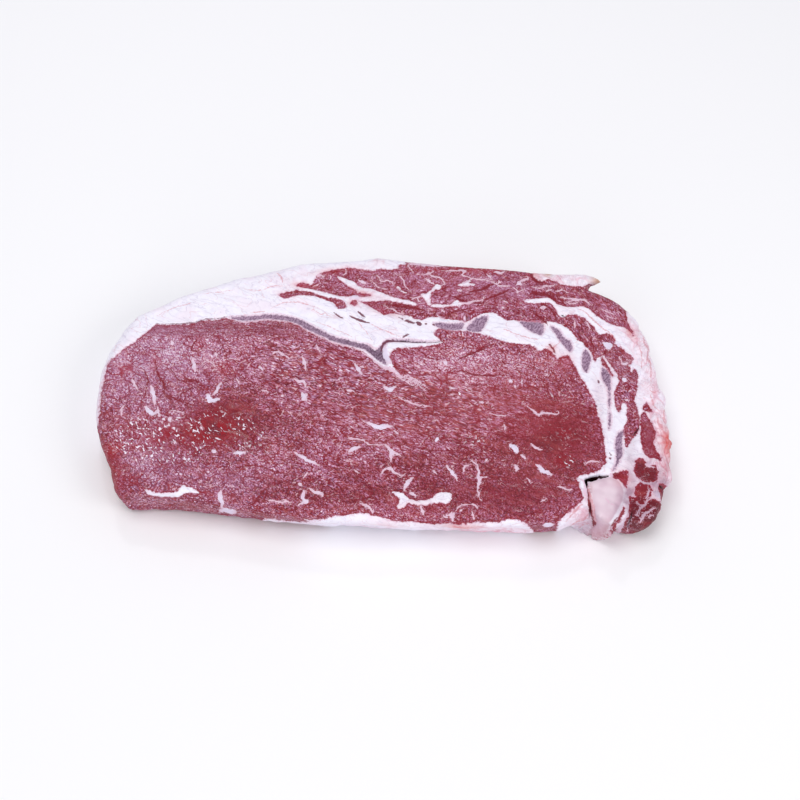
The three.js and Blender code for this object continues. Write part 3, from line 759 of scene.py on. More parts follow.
def lineFields(places, lines, reach=1.6):
    # For each place: its distance from the middle of the nearest line, less than nothing on one side
    # of it, and that line's half width there. The half width falls below nothing past the line's ends
    # and away from its edges, so that nothing shows halfway between two lines.
    side = np.full(len(places), reach)
    half = np.full(len(places), -1.0)
    nearest = np.full(len(places), reach)
    for width, *points in lines:
        dense = throughPoints(points, False)
        steps = np.diff(dense, axis=0)
        spans = np.hypot(*steps.T)
        length = spans.sum()
        near = around(places, dense, reach + width)
        x, y = places[near].T
        gone = 0
        for (ax, ay), (dx, dy), span in zip(dense, steps, spans):
            if span < 1e-6:
                continue
            ahead = ((x - ax) * dx + (y - ay) * dy) / span
            across = ((y - ay) * dx - (x - ax) * dy) / span
            away = np.hypot(ahead - np.clip(ahead, 0, span), across)
            along = gone + ahead
            past = np.maximum(np.maximum(-along, along - length), 0)
            halfHere = taper(along, length, width)
            beyond = away - halfHere
            better = beyond < nearest[near]
            chosen = near[better]
            nearest[chosen] = beyond[better]
            side[chosen] = np.copysign(away, across)[better]
            half[chosen] = (halfHere - 3 * past - 3 * (beyond - 0.45).clip(0))[better]
            gone += span
    return side, half.clip(-2)


def patchField(places, patches):
    total = np.zeros(len(places))
    for cx, cy, reachAlong, reachAcross, turn, strength in patches:
        c, s = math.cos(math.radians(turn)), math.sin(math.radians(turn))
        x, y = places[:, 0] - cx, places[:, 1] - cy
        along, across = x * c + y * s, y * c - x * s
        total += strength * np.exp(-((along / reachAlong) ** 2) - (across / reachAcross) ** 2)
    return total


def acrossFibres(places):
    # How far each place lies across the muscle's fibres, which sink to the right in the eye and
    # turn down round the right end in the cap.
    x, y = places.T
    right = np.maximum(x - 40, 0) ** 2
    cap = smoothStep(y + 0.006 * right, 24, 38)
    return y + (1 - cap) * 0.28 * x + cap * (right / 95 - 0.1 * np.minimum(x - 40, 0))


def softNoise(places, size, seed):
    shift = Vector((seed * 17.3, seed * 5.1, seed * 9.7))
    return np.array([noise.noise(Vector(place) / size + shift) for place in places])


slab = {
    "name": "ribeye_slab",
    "node": "steak",
    "slot": "meat",
    "spacing": 0.68,  # of the top's mesh, mm
    "flatten": 0.55,  # the height is squeezed to this share while the mesh is remade
    "underSpacing": 2.0,
    "underBorder": 7,  # rings of fine mesh kept round the underside
    "flatHeight": 0.25,  # the underside's flat faces lie below this, mm
    "rimSlope": (0.25, 0.5),  # the rim is where the normals rise this much, above rimHeight
    "rimHeight": 12,
    "wallSlope": 0.55,  # the walls are where they rise less than this
    "swayTop": 16,  # the rim's colours wander below this height
    "swayFade": 9,  # and do so fully this much lower
    # Small moves of the rim: place, reach, how far it goes, and the heights it fades over.
    "nudges": [
        (95.5, 50.5, 4.0, -0.6, 0.8, 0.5, 6), (87, -70, 4.0, 2.6, -0.6, 0.5, 6),
        (85.5, -64, 4.5, 0.0, -2.4, 6, 16), (78, -68, 6, 0.0, 1.4, 14, 5),
        (78, -66, 6, 0.0, 2.4, 8, 18), (108.5, -60, 4, -0.8, 0.4, 0.5, 6),
        (95, -66, 4, 0.6, -2.0, 0.5, 6),
        (96.5, 56, 5.5, -5.5, 1.5, 17.5, 13.5),  # under the hooked flap
    ],
    # The crack's middle line on the plan, after a width, and how far from it its walls lie.
    "crack": (
        1.5, (92.4, -44.5), (87, -45.2), (81.8, -47.2), (82.4, -53), (83.2, -60), (84, -67), (84.2, -75),
    ),
    "crackReach": 1.8,
    "crackTop": 18.2,
    "shaftTop": -48.5,  # the crack's long arm begins here and runs to the front
    "shaftFade": 3,
    "shaftFloor": 9,  # the arm is drawn together above this height
    "pinch": (0.35, 2.4),  # how near and how far from its middle line that is done
}


def squeezed(shape, share):
    bmesh.ops.scale(shape, vec=(1, 1, share), verts=shape.verts)


def fineCopy(node, spacing, flatten):
    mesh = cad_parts[node].data.copy()
    shape = bmesh.new()
    shape.from_mesh(mesh)
    bmesh.ops.remove_doubles(shape, verts=shape.verts, dist=0.01 * mm)
    squeezed(shape, flatten)
    shape.to_mesh(mesh)
    shape.free()
    source = addToScene("source", mesh)
    remesh = source.modifiers.new("remesh", "REMESH")
    remesh.mode = "VOXEL"
    remesh.voxel_size = spacing * mm
    bpy.context.view_layer.update()
    looked = source.evaluated_get(bpy.context.evaluated_depsgraph_get())
    fine = bpy.data.meshes.new_from_object(looked)
    bpy.data.objects.remove(source)
    shape = bmesh.new()
    shape.from_mesh(fine)
    allWays = {"use_axis_x": True, "use_axis_y": True, "use_axis_z": True}
    bmesh.ops.smooth_vert(shape, verts=shape.verts, factor=0.5, **allWays)
    squeezed(shape, 1 / flatten)
    bpy.data.meshes.remove(fine)
    return shape


def walkLoops(edges):
    left = set(edges)
    loops = []
    while left:
        edge = left.pop()
        loop = [edge.verts[0], edge.verts[1]]
        while loop[-1] is not loop[0]:
            following = next(e for e in loop[-1].link_edges if e in left)
            left.discard(following)
            loop.append(following.other_vert(loop[-1]))
        loops.append(loop)
    return loops


def coarsenUnderside(shape, setup):
    # Swaps the flat middle of the underside for a coarse grid, and joins it to the fine mesh.
    flat = setup["flatHeight"] * mm
    under = {f for f in shape.faces if f.normal.z < -0.9 and max(v.co.z for v in f.verts) < flat}
    for _ in range(setup["underBorder"]):
        under -= {f for f in under if any(n not in under for e in f.edges for n in e.link_faces)}
    bmesh.ops.delete(shape, geom=list(under), context="FACES")
    loop = max(walkLoops([e for e in shape.edges if e.is_boundary]), key=len)
    for v in loop:
        v.co.z = 0
    half = max(cadBox[1].x, cadBox[1].y)
    steps = round(2 * half / (setup["underSpacing"] * mm))
    grid = bmesh.ops.create_grid(shape, x_segments=steps, y_segments=steps, size=half)["verts"]
    places = np.array([v.co.xy for v in grid]) / mm
    depth = insideDepth(places, np.array([v.co.xy for v in loop]) / mm)
    outside = [v for v, d in zip(grid, depth) if d < setup["underSpacing"] * 0.8]
    bmesh.ops.delete(shape, geom=outside, context="VERTS")
    grid = [v for v in grid if v.is_valid]
    bmesh.ops.reverse_faces(shape, faces=list({f for v in grid for f in v.link_faces}))
    rim = [e for e in shape.edges if e.is_boundary]
    bmesh.ops.triangle_fill(shape, use_beauty=True, edges=rim, normal=(0, 0, -1))
    bmesh.ops.delete(shape, geom=[e for e in shape.edges if not e.link_faces], context="EDGES")


def readMesh(mesh):
    places = np.zeros(len(mesh.vertices) * 3, np.float32)
    normals = np.zeros(len(mesh.vertices) * 3, np.float32)
    mesh.vertices.foreach_get("co", places)
    mesh.vertex_normals.foreach_get("vector", normals)
    return places.reshape(-1, 3).astype(float) / mm, normals.reshape(-1, 3).astype(float)


def inCrack(places):
    # True on the walls and the floor of the crack beside the pad.
    reach = slab["crackReach"]
    side, _ = lineFields(places[:, :2] + plan["shift"], [slab["crack"]], 2 * reach)
    return (np.abs(side) < reach) & (places[:, 2] < slab["crackTop"])


def closeShaft(places, setup):
    # Draws the walls of the crack's long arm together, so that only a slit is left of it.
    middle = throughPoints(setup["crack"][1:], False)
    middle = middle[middle[:, 1] < setup["shaftTop"]] - plan["shift"]
    across = places[:, 0] - np.interp(-places[:, 1], -middle[:, 1], middle[:, 0])
    away = np.abs(across)
    pinched = across * smoothStep(away, *setup["pinch"])
    amount = smoothStep(-places[:, 1], -middle[0, 1], -middle[0, 1] + setup["shaftFade"])
    amount *= places[:, 2] > setup["shaftFloor"]
    places[:, 0] += np.where(away < setup["pinch"][1], (pinched - across) * amount, 0)


def moveRim(places, setup):
    for x, y, reach, dx, dy, low, high in setup["nudges"]:
        away = np.hypot(places[:, 0] - x, places[:, 1] - y) / reach
        amount = np.exp(-away * away) * smoothStep(places[:, 2], low, high)
        places[:, 0] += dx * amount
        places[:, 1] += dy * amount


def seenOnPlan(places, height):
    # Where the camera's line of sight through each vertex meets the plan.
    eye = np.array(cameraPlace(viewSetup)) / mm
    share = (eye[2] - height) / (eye[2] - places[:, 2])
    return eye[:2] + (places[:, :2] - eye[:2]) * share[:, None]


def rimAbove(places, rim, wall, setup):
    # For each vertex of the wall, the vertex of the rim above it. The way there wanders, so that
    # no edge runs straight down the wall.
    tree = kdtree.KDTree(len(rim))
    for i, (x, y, _) in enumerate(places[rim]):
        tree.insert((x, y, 0), i)
    tree.balance()
    drawn = places[wall] * (1, 1, 0)
    wander = plan["sway"] * smoothStep(setup["swayTop"] - places[wall, 2], 0, setup["swayFade"])
    for side in (0, 1):
        drawn[:, side] += wander * softNoise(places[wall] * (1, 1, 1.4), 8, 11 + side)
    return rim[[tree.find(place)[1] for place in drawn]]


def hiddenShare(places, normals):
    # 1 on walls that face away. The front shows, and the underside reads its own place.
    up, forward = normals[:, 2], -normals[:, 1]
    hidden = 1 - smoothStep(up, 0.15, 0.5)
    hidden *= 1 - smoothStep(forward, 0.35, 0.8) * smoothStep(up, -0.75, -0.3)
    return hidden * np.where(places[:, 2] < 5, smoothStep(up, -0.97, -0.6), 1)


def planPlaces(places, normals, cracked, setup):
    # Where each vertex lies on the drawn plan. The front reads what it covers there, and the other
    # walls carry on the colours of the rim above them.
    seen = seenOnPlan(places, plan["height"])
    up = normals[:, 2]
    least, most = setup["rimSlope"]
    rim = np.flatnonzero((up > least) & (up < most) & (places[:, 2] > setup["rimHeight"]) & ~cracked)
    wall = np.flatnonzero((up < setup["wallSlope"]) & ~cracked)
    above = rimAbove(places, rim, wall, setup)
    found = seen.copy()
    found[wall] += (seen[above] - seen[wall]) * hiddenShare(places[wall], normals[wall])[:, None]
    return found + plan["shift"]


relief = {
    "lean": 0.10, "leanSize": 1.9, "leanSwell": 0.25, "swellSize": 11, "wrinkle": 0.24,
    "foldSize": 5.5, "foldBend": 2.4, "alongFibres": 0.55,
    "fatRise": 0.28, "fatLumps": 0.42, "fatSize": 6.5, "fatFine": 0.12,
    "skinDip": 0.45, "slitDip": 1.2, "wineDip": 0.22, "brownDip": 0.2, "veinRise": 0.10,
    "endFolds": 0.8, "endSize": 5.5, "wallRough": 0.5, "padRise": 0.9,
}


def foldField(places, onPlan, setup):
    # A soft field that passes through nothing along the creases, which run with the fibres.
    along = np.stack([onPlan[:, 0] * setup["alongFibres"], acrossFibres(onPlan), places[:, 2]], 1)
    along[:, 1] += setup["foldBend"] * softNoise(places, 9, 8)
    lean = softNoise(along, setup["foldSize"], 7)
    fat = softNoise(places * (1, 0.75, 0.6), setup["endSize"], 5)
    return lean + (fat - lean) * smoothStep(places[:, 0], 104, 109)


lineKinds = ("white", "slit", "wine", "brown", "pink")
patchKinds = (
    "tone", "calm", "warm", "cool", "wet", "fibre",
    "scarlet", "rosyFat", "tan", "bruise", "dusk", "gloom",
)


def planFields(places, normals, cracked, onPlan):
    # What the relief and the material read at each vertex.
    lean = np.minimum(deepest(onPlan, plan["lean"]), -deepest(onPlan, plan["seams"]))
    intoCrack = smoothStep(slab["crackTop"] - places[:, 2], 0, 1.2)
    found = {
        "lean": np.clip(lean, -5, 5),
        "skin": np.clip(deepest(onPlan, plan["silverskin"]), -5, 5),
        "pad": np.clip(deepest(onPlan, plan["pad"]), -5, 5),
        "wall": 1 - smoothStep(normals[:, 2], 0.0, 0.6),
        "under": smoothStep(-normals[:, 2], 0.5, 0.9),
        # deep in the crack, which is painted dark as shade
        "deep": cracked * intoCrack * smoothStep(places[:, 1], -50, -48),
        "across": acrossFibres(onPlan),
        "fold": foldField(places, onPlan, relief),
    }
    for kind in lineKinds:
        side, half = lineFields(onPlan, plan[kind])
        found[kind + "Side"] = side
        found[kind + "Half"] = half - 3 * found["under"]
    for kind in patchKinds:
        found[kind] = patchField(onPlan, plan[kind]).clip(-1, 1)
    return found


def leanLift(places, fields, setup):
    bumpy = 1 - fields["calm"].clip(0, 1)
    crease = 1 - smoothStep(np.abs(fields["fold"]), 0, 0.14)
    return bumpy * (setup["lean"] * softNoise(places, setup["leanSize"], 2) - setup["wrinkle"] * crease)


def fatLift(places, fields, setup):
    lumps = softNoise(places * (1, 1, 0.6), setup["fatSize"], 3)
    lift = setup["fatRise"] + setup["fatLumps"] * lumps + setup["fatFine"] * softNoise(places, 2.2, 4)
    lift *= 1 - smoothStep(fields["pad"], -0.4, 2.2)
    rightEnd = smoothStep(places[:, 0], 96, 108)
    return lift + rightEnd * setup["endFolds"] * (smoothStep(np.abs(fields["fold"]), 0, 0.3) - 0.6)


def liftSurface(places, normals, fields, cracked, setup):
    fat = 1 - smoothStep(fields["lean"], -0.7, 0.5)
    line = {
        kind: smoothStep(fields[kind + "Half"] - np.abs(fields[kind + "Side"]), -0.5, 0.2)
        for kind in ("white", "slit", "wine", "brown")
    }
    pad = smoothStep(fields["pad"], -0.4, 2.2)
    lift = setup["leanSwell"] * softNoise(places, setup["swellSize"], 1)
    lift += (1 - fat) * leanLift(places, fields, setup) + fat * fatLift(places, fields, setup)
    lift -= smoothStep(fields["skin"], -0.4, 0.6) * setup["skinDip"]
    lift -= line["slit"] * setup["slitDip"] * (1 - pad)
    lift -= line["wine"] * setup["wineDip"] + line["brown"] * setup["brownDip"]
    lift += line["white"] * setup["veinRise"] + pad * setup["padRise"]
    lift += fields["wall"] * setup["wallRough"] * softNoise(places * (1, 1, 1.8), 4.5, 6)
    lift *= 1 - 0.95 * fields["under"]
    lift *= np.where(cracked, 0.1, 1)
    moved = places + normals * lift[:, None]
    moved[:, 2] = np.where(places[:, 2] < 0.3, places[:, 2].clip(0), moved[:, 2].clip(0.02))
    return moved


fine = fineCopy(slab["node"], slab["spacing"], slab["flatten"])
coarsenUnderside(fine, slab)
steakMesh = bpy.data.meshes.new(slab["name"])
fine.to_mesh(steakMesh)
triangles = sum(len(f.verts) - 2 for f in fine.faces)
openEdges = sum(not e.is_manifold for e in fine.edges)
print("fine mesh made:", triangles, "triangles,", openEdges, "open edges")
fine.free()

places, normals = readMesh(steakMesh)
cracked = inCrack(places)
closeShaft(places, slab)
moveRim(places, slab)
fields = planFields(places, normals, cracked, planPlaces(places, normals, cracked, slab))
print("plan laid on the mesh")

moved = liftSurface(places, normals, fields, cracked, relief)
steakMesh.vertices.foreach_set("co", (moved * mm).astype(np.float32).ravel())
for name, values in fields.items():
    steakMesh.attributes.new(name, "FLOAT", "POINT").data.foreach_set("value", values.astype(np.float32))
steakMesh.shade_smooth()
steakMesh.update()
print("relief raised")


meat = {
    # the lean, from its darkest to its palest, where a pale veil lies on it: partly the meat's own, partly
    # a painted sheen of reflected light
    "leanTones": {
        0.00: (100, 16, 34), 0.08: (122, 26, 44), 0.16: (136, 38, 56), 0.25: (146, 58, 78),
        0.37: (159, 84, 107), 0.53: (180, 114, 148), 0.68: (199, 142, 175), 0.81: (217, 172, 202),
        1.00: (242, 220, 238),
    },
    "baseTone": 0.42,
    # how far each of these swings the tone
    "grain": 0.62,
    "granules": 0.34,
    "wrinkles": 0.32,
    "mottle": 0.10,
    "ridges": 0.08,
    "tints": {
        "marbling": (230, 218, 240), "thinMarbling": (228, 192, 212), "curl": (222, 178, 192),
        "glint": (246, 232, 248), "pool": (148, 12, 32), "seam": (146, 30, 48), "warm": (186, 94, 94),
        "cool": (158, 120, 158), "wine": (128, 20, 38), "scarlet": (172, 36, 44), "ember": (210, 84, 78),
        "fat": (243, 240, 252), "fatShade": (230, 222, 242), "fatCreaseShade": (206, 194, 222),
        "blush": (242, 228, 242), "rosy": (248, 222, 236), "rosyDark": (224, 160, 180),
        "tan": (206, 160, 140), "bruise": (172, 96, 108), "dusk": (174, 142, 162),
        "pad": (230, 210, 222), "padShade": (212, 184, 200), "skin": (178, 148, 174),
        "skinDark": (126, 94, 120), "gloom": (84, 56, 80), "pink": (208, 120, 130),
        "brown": (112, 48, 68), "slit": (44, 10, 22), "crack": (42, 4, 10), "border": (214, 160, 186),
    },
    "bump": 0.55,
    "bumpHeight": 0.9,  # mm
    "roughness": (0.34, 0.64),
    "coat": (0.05, 0.17),  # dry and wet
    "coatRoughness": 0.14,
    "specular": 0.22,
}


class NodeBench:
    # Places nodes in one tree and links them as they are made.
    def __init__(self, tree, tints):
        self.tree = tree
        self.tint = {name: linear(*colour) for name, colour in tints.items()}

    def node(self, kind, inputs=None, **settings):
        made = self.tree.nodes.new("ShaderNode" + kind)
        for key, value in settings.items():
            setattr(made, key, value)
        for name, value in (inputs or {}).items():
            if isinstance(value, bpy.types.NodeSocket):
                self.tree.links.new(value, made.inputs[name])
            else:
                made.inputs[name].default_value = value
        return made

    def sum(self, operation, first, second=0.0, third=0.0):
        values = {0: first, 1: second, 2: third}
        return self.node("Math", values, operation=operation).outputs[0]

    def times(self, first, *others):
        for other in others:
            first = self.sum("MULTIPLY", first, other)
        return first

    def plus(self, first, second):
        return self.sum("ADD", first, second)

    def minus(self, first, second):
        return self.sum("SUBTRACT", first, second)

    def most(self, first, *others):
        for other in others:
            first = self.sum("MAXIMUM", first, other)
        return first

    def swing(self, value, amount):
        # the value's swing about one half, made this much larger
        return self.sum("MULTIPLY_ADD", value, amount, -amount / 2)

    def ramp(self, value, low, high, start=0.0, end=1.0):
        values = {"Value": value, "From Min": low, "From Max": high, "To Min": start, "To Max": end}
        return self.node("MapRange", values, interpolation_type="SMOOTHSTEP").outputs[0]

    def blend(self, amount, first, second):
        made = self.node("Mix", {0: amount, 2: first, 3: second}, data_type="FLOAT", clamp_factor=True)
        return made.outputs[0]

    def mix(self, amount, first, second):
        made = self.node("Mix", {0: amount, 6: first, 7: second}, data_type="RGBA", clamp_factor=True)
        return made.outputs[2]

    def paint(self, colour, *layers):
        # each layer is a tint's name and how much of it shows
        for name, amount in layers:
            colour = self.mix(amount, colour, self.tint[name])
        return colour

    def tones(self, value, colours):
        made = self.node("ValToRGB", {0: value})
        steps = made.color_ramp.elements
        for position in list(colours)[1:-1]:
            steps.new(position)
        for step, (position, colour) in zip(steps, colours.items()):
            step.position = position
            step.color = linear(*colour)
        return made.outputs["Color"]

    def field(self, name):
        return self.node("Attribute", attribute_name=name).outputs["Fac"]

    def parts(self, place):
        return self.node("SeparateXYZ", {0: place}).outputs

    def cloud(self, place, scale, detail=2.0, roughness=0.5, distortion=0.0):
        values = {"Vector": place, "Scale": scale, "Detail": detail}
        values.update({"Roughness": roughness, "Distortion": distortion})
        return self.node("TexNoise", values).outputs["Fac"]

    def stretched(self, place, turn, along, across):
        # drawn out this many times along one direction and across it
        values = {"Vector": place, "Rotation": (0, 0, math.radians(turn)), "Scale": (along, across, across)}
        return self.node("Mapping", values, vector_type="TEXTURE").outputs[0]

    def cells(self, place, scale):
        # how far off the nearest edge between two cells lies
        values = {"Vector": place, "Scale": scale}
        return self.node("TexVoronoi", values, feature="DISTANCE_TO_EDGE").outputs["Distance"]

    def bent(self, place, scale, amount):
        push = self.node("TexNoise", {"Vector": place, "Scale": scale, "Detail": 1.0}).outputs["Color"]
        middle = self.node("VectorMath", {0: push, 1: (0.5, 0.5, 0.5)}, operation="SUBTRACT").outputs[0]
        values = {0: middle, 1: (amount,) * 3, 2: place}
        return self.node("VectorMath", values, operation="MULTIPLY_ADD").outputs[0]

    def thread(self, value, width):
        # 1 along the lines where the value passes one half
        away = self.sum("ABSOLUTE", self.minus(value, 0.5))
        return self.ramp(away, 0.0, width, 1.0, 0.0)

    def crease(self, cloud, swing):
        # how far off the mesh's own creases lie, made uneven
        return self.sum("ABSOLUTE", self.plus(self.field("fold"), self.swing(cloud, swing)))

    def gap(self, kind, widen, wobble, ragged):
        # how far inside the edge of a drawn line it is; widen swings the width, wobble bends it
        across = self.sum("ABSOLUTE", self.plus(self.field(kind + "Side"), wobble))
        reach = self.plus(self.times(self.field(kind + "Half"), widen), ragged)
        return self.minus(reach, across)


def fibreSpaces(b, at):
    # The place with its second part measured across the fibres, then bent a little, then more.
    x, _, z = b.parts(at)
    flow = b.node("CombineXYZ", {0: x, 1: b.field("across"), 2: z}).outputs[0]
    return flow, b.bent(flow, 0.13, 4.0), b.bent(flow, 0.3, 3.0)


def grainMasks(b, bent, fibre):
    # Granules with thin dark borders, drawn out to strands in the middle of the eye.
    grain = b.blend(fibre, b.cloud(bent, 1.5, 1.0), b.cloud(b.stretched(bent, 0, 2.6, 0.75), 1.15, 1.0))
    granules = b.blend(fibre, b.cells(bent, 0.8), b.cells(b.stretched(bent, 0, 2.8, 0.9), 0.9))
    return grain, b.ramp(granules, 0.02, 0.17)


def wrinkleMask(b, at, wider, fibre):
    # Dark red wrinkles: painted shade along the mesh's own creases, and dark lines at the edges of small
    # cells and along long threads.
    creases = b.ramp(b.crease(b.cloud(at, 0.7, 2.0), 0.1), 0.045, 0.01)
    small = b.blend(fibre, b.cells(wider, 0.26), b.cells(b.stretched(wider, 0, 6.5, 2.6), 1.0))
    threads = b.thread(b.cloud(b.stretched(wider, 0, 2.2, 0.9), 0.24, 2.0), 0.022)
    wrinkles = b.most(creases, b.times(b.ramp(small, 0.09, 0.015), 0.75), b.times(threads, 0.85))
    return b.times(wrinkles, b.ramp(b.cloud(at, 0.14, 2.0), 0.36, 0.58, 0.25, 1.0))


def leanTone(b, flow, wider, grain, granules, wrinkles, lively, setup):
    # How pale the lean is, and how busy its grain. A pale veil lies over part of it: partly the meat's own,
    # partly a painted sheen of reflected light.
    ridge = b.thread(b.cloud(b.stretched(wider, 0, 1.8, 0.9), 0.3, 2.0), 0.12)
    busy = b.times(lively, b.ramp(ridge, 0, 1, 0.95, 1.5))
    filmAndSheen = b.ramp(b.cloud(b.stretched(flow, 0, 1.5, 0.8), 0.13, 4.0, 0.62), 0.42, 0.58)
    tone = b.plus(b.field("tone"), setup["baseTone"])
    swings = [
        (b.minus(filmAndSheen, 0.5), b.plus(lively, 0.6), setup["mottle"]),
        (b.minus(ridge, 0.5), b.plus(lively, 0.2), setup["ridges"]),
        (b.minus(b.ramp(grain, 0.3, 0.7), 0.5), busy, setup["grain"]),
        (b.minus(granules, 0.72), busy, setup["granules"]),
        # darker along the wrinkles, partly painted shade in the mesh's creases
        (wrinkles, b.plus(busy, 0.1), -setup["wrinkles"]),
    ]
    for swing, share, strength in swings:
        tone = b.plus(tone, b.times(swing, b.times(share, strength)))
    return tone, busy


def leanHue(b, colour, flow, bent, fibre, busy, wrinkles):
    # The grain swings in hue too, and so do broad streaks and patches.
    hue = b.blend(fibre, b.cloud(bent, 1.0, 1.0), b.cloud(b.stretched(bent, 0, 2.6, 0.8), 0.9, 1.0))
    streaks = b.ramp(b.cloud(b.stretched(flow, 0, 3.0, 1.0), 0.22, 2.0, 0.6), 0.52, 0.72, 0.0, 0.22)
    return b.paint(
        colour,
        ("warm", b.times(b.ramp(hue, 0.52, 0.68, 0.0, 0.42), busy)),
        ("cool", b.times(b.ramp(hue, 0.46, 0.32, 0.0, 0.36), busy)),
        ("warm", b.plus(streaks, b.field("warm"))),
        # the cool patches: partly a painted sheen of reflected light
        ("cool", b.field("cool")),
        # the wrinkles: partly painted shade in the mesh's creases
        ("seam", b.times(wrinkles, b.times(b.plus(busy, 0.1), 0.55))),
        ("scarlet", b.times(b.field("scarlet"), 0.55)),
    )


def paleCurls(b, at, bent, lively):
    # Sparse thin pale curls, partly fine strands of fat and partly painted highlights on the wet fibres,
    # and clusters of small specks, which are painted glints.
    curls = b.thread(b.cloud(b.bent(bent, 0.5, 1.6), 0.42, 1.0, 0.5, 1.2), 0.026)
    curls = b.times(curls, b.ramp(b.cloud(bent, 0.3, 1.0), 0.52, 0.62, 0.0, 0.7))
    specks = b.ramp(b.cloud(b.stretched(bent, 35, 1.5, 0.8), 0.95, 0.0), 0.68, 0.74, 0.0, 0.75)
    clusters = b.times(b.ramp(b.cloud(at, 0.11, 1.0), 0.46, 0.58), b.ramp(lively, 0.5, 0.8))
    return b.most(curls, b.times(specks, clusters))


def wetLookWithPaintedGlints(b, at, bent, colour):
    # Deep red between crisp glints painted into the colour as highlights, and how the glints stand up.
    wet = b.field("wet")
    rippled = b.stretched(b.bent(at, 0.35, 3.0), -52, 1.8, 0.75)
    ridges = b.cloud(rippled, 0.95, 0.0)
    ripples = b.times(b.thread(b.cloud(rippled, 0.5, 1.0, 0.5, 0.8), 0.024), b.ramp(ridges, 0.55, 0.62))
    pools = b.times(b.times(wet, b.field("calm")), b.ramp(b.cloud(bent, 0.2, 2.0), 0.34, 0.54, 0.0, 1.8))
    lit = b.times(b.ramp(wet, 0.1, 0.5), b.ramp(b.cloud(at, 0.17, 1.0), 0.37, 0.5))
    glints = b.times(b.most(ripples, b.ramp(ridges, 0.67, 0.71)), lit)
    pooled = b.times(b.ramp(ridges, 0.7, 0.5), b.times(pools, 0.9))
    return b.paint(colour, ("pool", pooled), ("glint", glints)), b.times(ridges, wet, 0.5)


def leanLook(b, at, setup):
    # The lean's colour and its height.
    fibre = b.field("fibre")
    lively = b.minus(1.0, b.field("calm"))
    flow, bent, wider = fibreSpaces(b, at)
    grain, granules = grainMasks(b, bent, fibre)
    wrinkles = wrinkleMask(b, at, wider, fibre)
    tone, busy = leanTone(b, flow, wider, grain, granules, wrinkles, lively, setup)
    colour = leanHue(b, b.tones(tone, setup["leanTones"]), flow, bent, fibre, busy, wrinkles)
    # painted highlights: the pale curls and specks
    colour = b.paint(colour, ("curl", paleCurls(b, at, bent, lively)))
    colour, ripples = wetLookWithPaintedGlints(b, at, bent, colour)
    height = b.plus(b.times(grain, 0.35), b.minus(b.times(granules, 0.12), b.times(wrinkles, 0.35)))
    return colour, b.plus(height, ripples)


def rosyLook(b, at, colour, veined):
    # Veined pink fat. Its darker creases follow the mesh's folds: painted shade over the fat's own pink.
    rosy = b.mix(veined, b.tint["rosy"], b.tint["rosyDark"])
    share = b.times(b.field("rosyFat"), b.ramp(b.cloud(at, 0.2, 3.0, 0.6), 0.32, 0.62, 0.4, 1.0))
    creases = b.ramp(b.crease(b.cloud(at, 0.6, 2.0), 0.14), 0.13, 0.0, 0.0, 0.8)
    return b.paint(b.mix(share, colour, rosy), ("rosyDark", b.times(creases, b.field("rosyFat"))))


def stainedAndShadedFat(b, at, colour, curds):
    # Darker, dried and bloody places. The darker ones, in the dusk patches, are painted shade.
    ember = b.times(b.ramp(curds, 0.4, 0.65, 0.7, 1.0), b.ramp(b.parts(at)[2], 8, 14, 0.1, 1.0))
    return b.paint(
        colour,
        ("dusk", b.times(b.field("dusk"), b.ramp(b.cloud(at, 0.3, 2.0), 0.3, 0.7, 0.6, 1.1))),
        ("tan", b.field("tan")),
        ("bruise", b.times(b.field("bruise"), b.ramp(curds, 0.4, 0.6, 0.5, 0.9))),
        ("ember", b.times(b.field("scarlet"), ember)),
    )


def fatLook(b, at):
    # The fat's colour and its height.
    pad = b.ramp(b.field("pad"), -0.3, 0.3)
    plain = b.minus(1.0, pad)
    curds = b.cloud(at, 0.5, 3.0, 0.62, 0.6)
    creases = b.thread(b.cloud(b.stretched(at, -24, 2.6, 1.0), 0.17, 3.0, 0.55, 0.9), 0.014)
    hairs = b.thread(b.cloud(b.stretched(at, -24, 3.2, 0.9), 0.11, 2.0, 0.5, 0.5), 0.008)
    colour = b.paint(
        b.tint["fat"],
        ("fatShade", b.times(b.ramp(curds, 0.40, 0.70, 0.0, 0.55), plain)),
        ("blush", b.ramp(b.cloud(at, 0.09, 2.0), 0.48, 0.68, 0.0, 0.6)),
        # painted shade along fine creases, which also sink in the height
        ("fatCreaseShade", b.times(creases, 0.5, plain)),
        ("pink", b.times(hairs, 0.24, plain)),
    )
    veins = b.thread(b.cloud(b.stretched(at, 78, 1.8, 0.9), 0.3, 3.0, 0.6, 1.0), 0.07)
    veined = b.plus(b.times(veins, 0.7), b.ramp(b.cloud(at, 0.4, 3.0, 0.6), 0.5, 0.7, 0.0, 0.5))
    colour = rosyLook(b, at, colour, veined)
    cushion = b.mix(b.ramp(b.cloud(at, 0.1, 2.0), 0.36, 0.62), b.tint["padShade"], b.tint["pad"])
    colour = stainedAndShadedFat(b, at, b.mix(pad, colour, cushion), curds)
    height = b.plus(b.times(curds, 0.3), b.times(b.minus(1.0, creases), 0.16))
    height = b.minus(height, b.times(veined, b.times(b.field("rosyFat"), 0.6)))
    return colour, b.times(height, b.plus(plain, 0.2))


def skinLook(b, at):
    teeth = b.ramp(b.cloud(b.stretched(at, 60, 1.5, 0.8), 1.3, 1.5, 0.7), 0.36, 0.64)
    colour = b.mix(teeth, b.tint["skinDark"], b.tint["skin"])
    return b.paint(colour, ("gloom", b.times(b.field("gloom"), b.minus(0.9, b.times(teeth, 0.4)))))


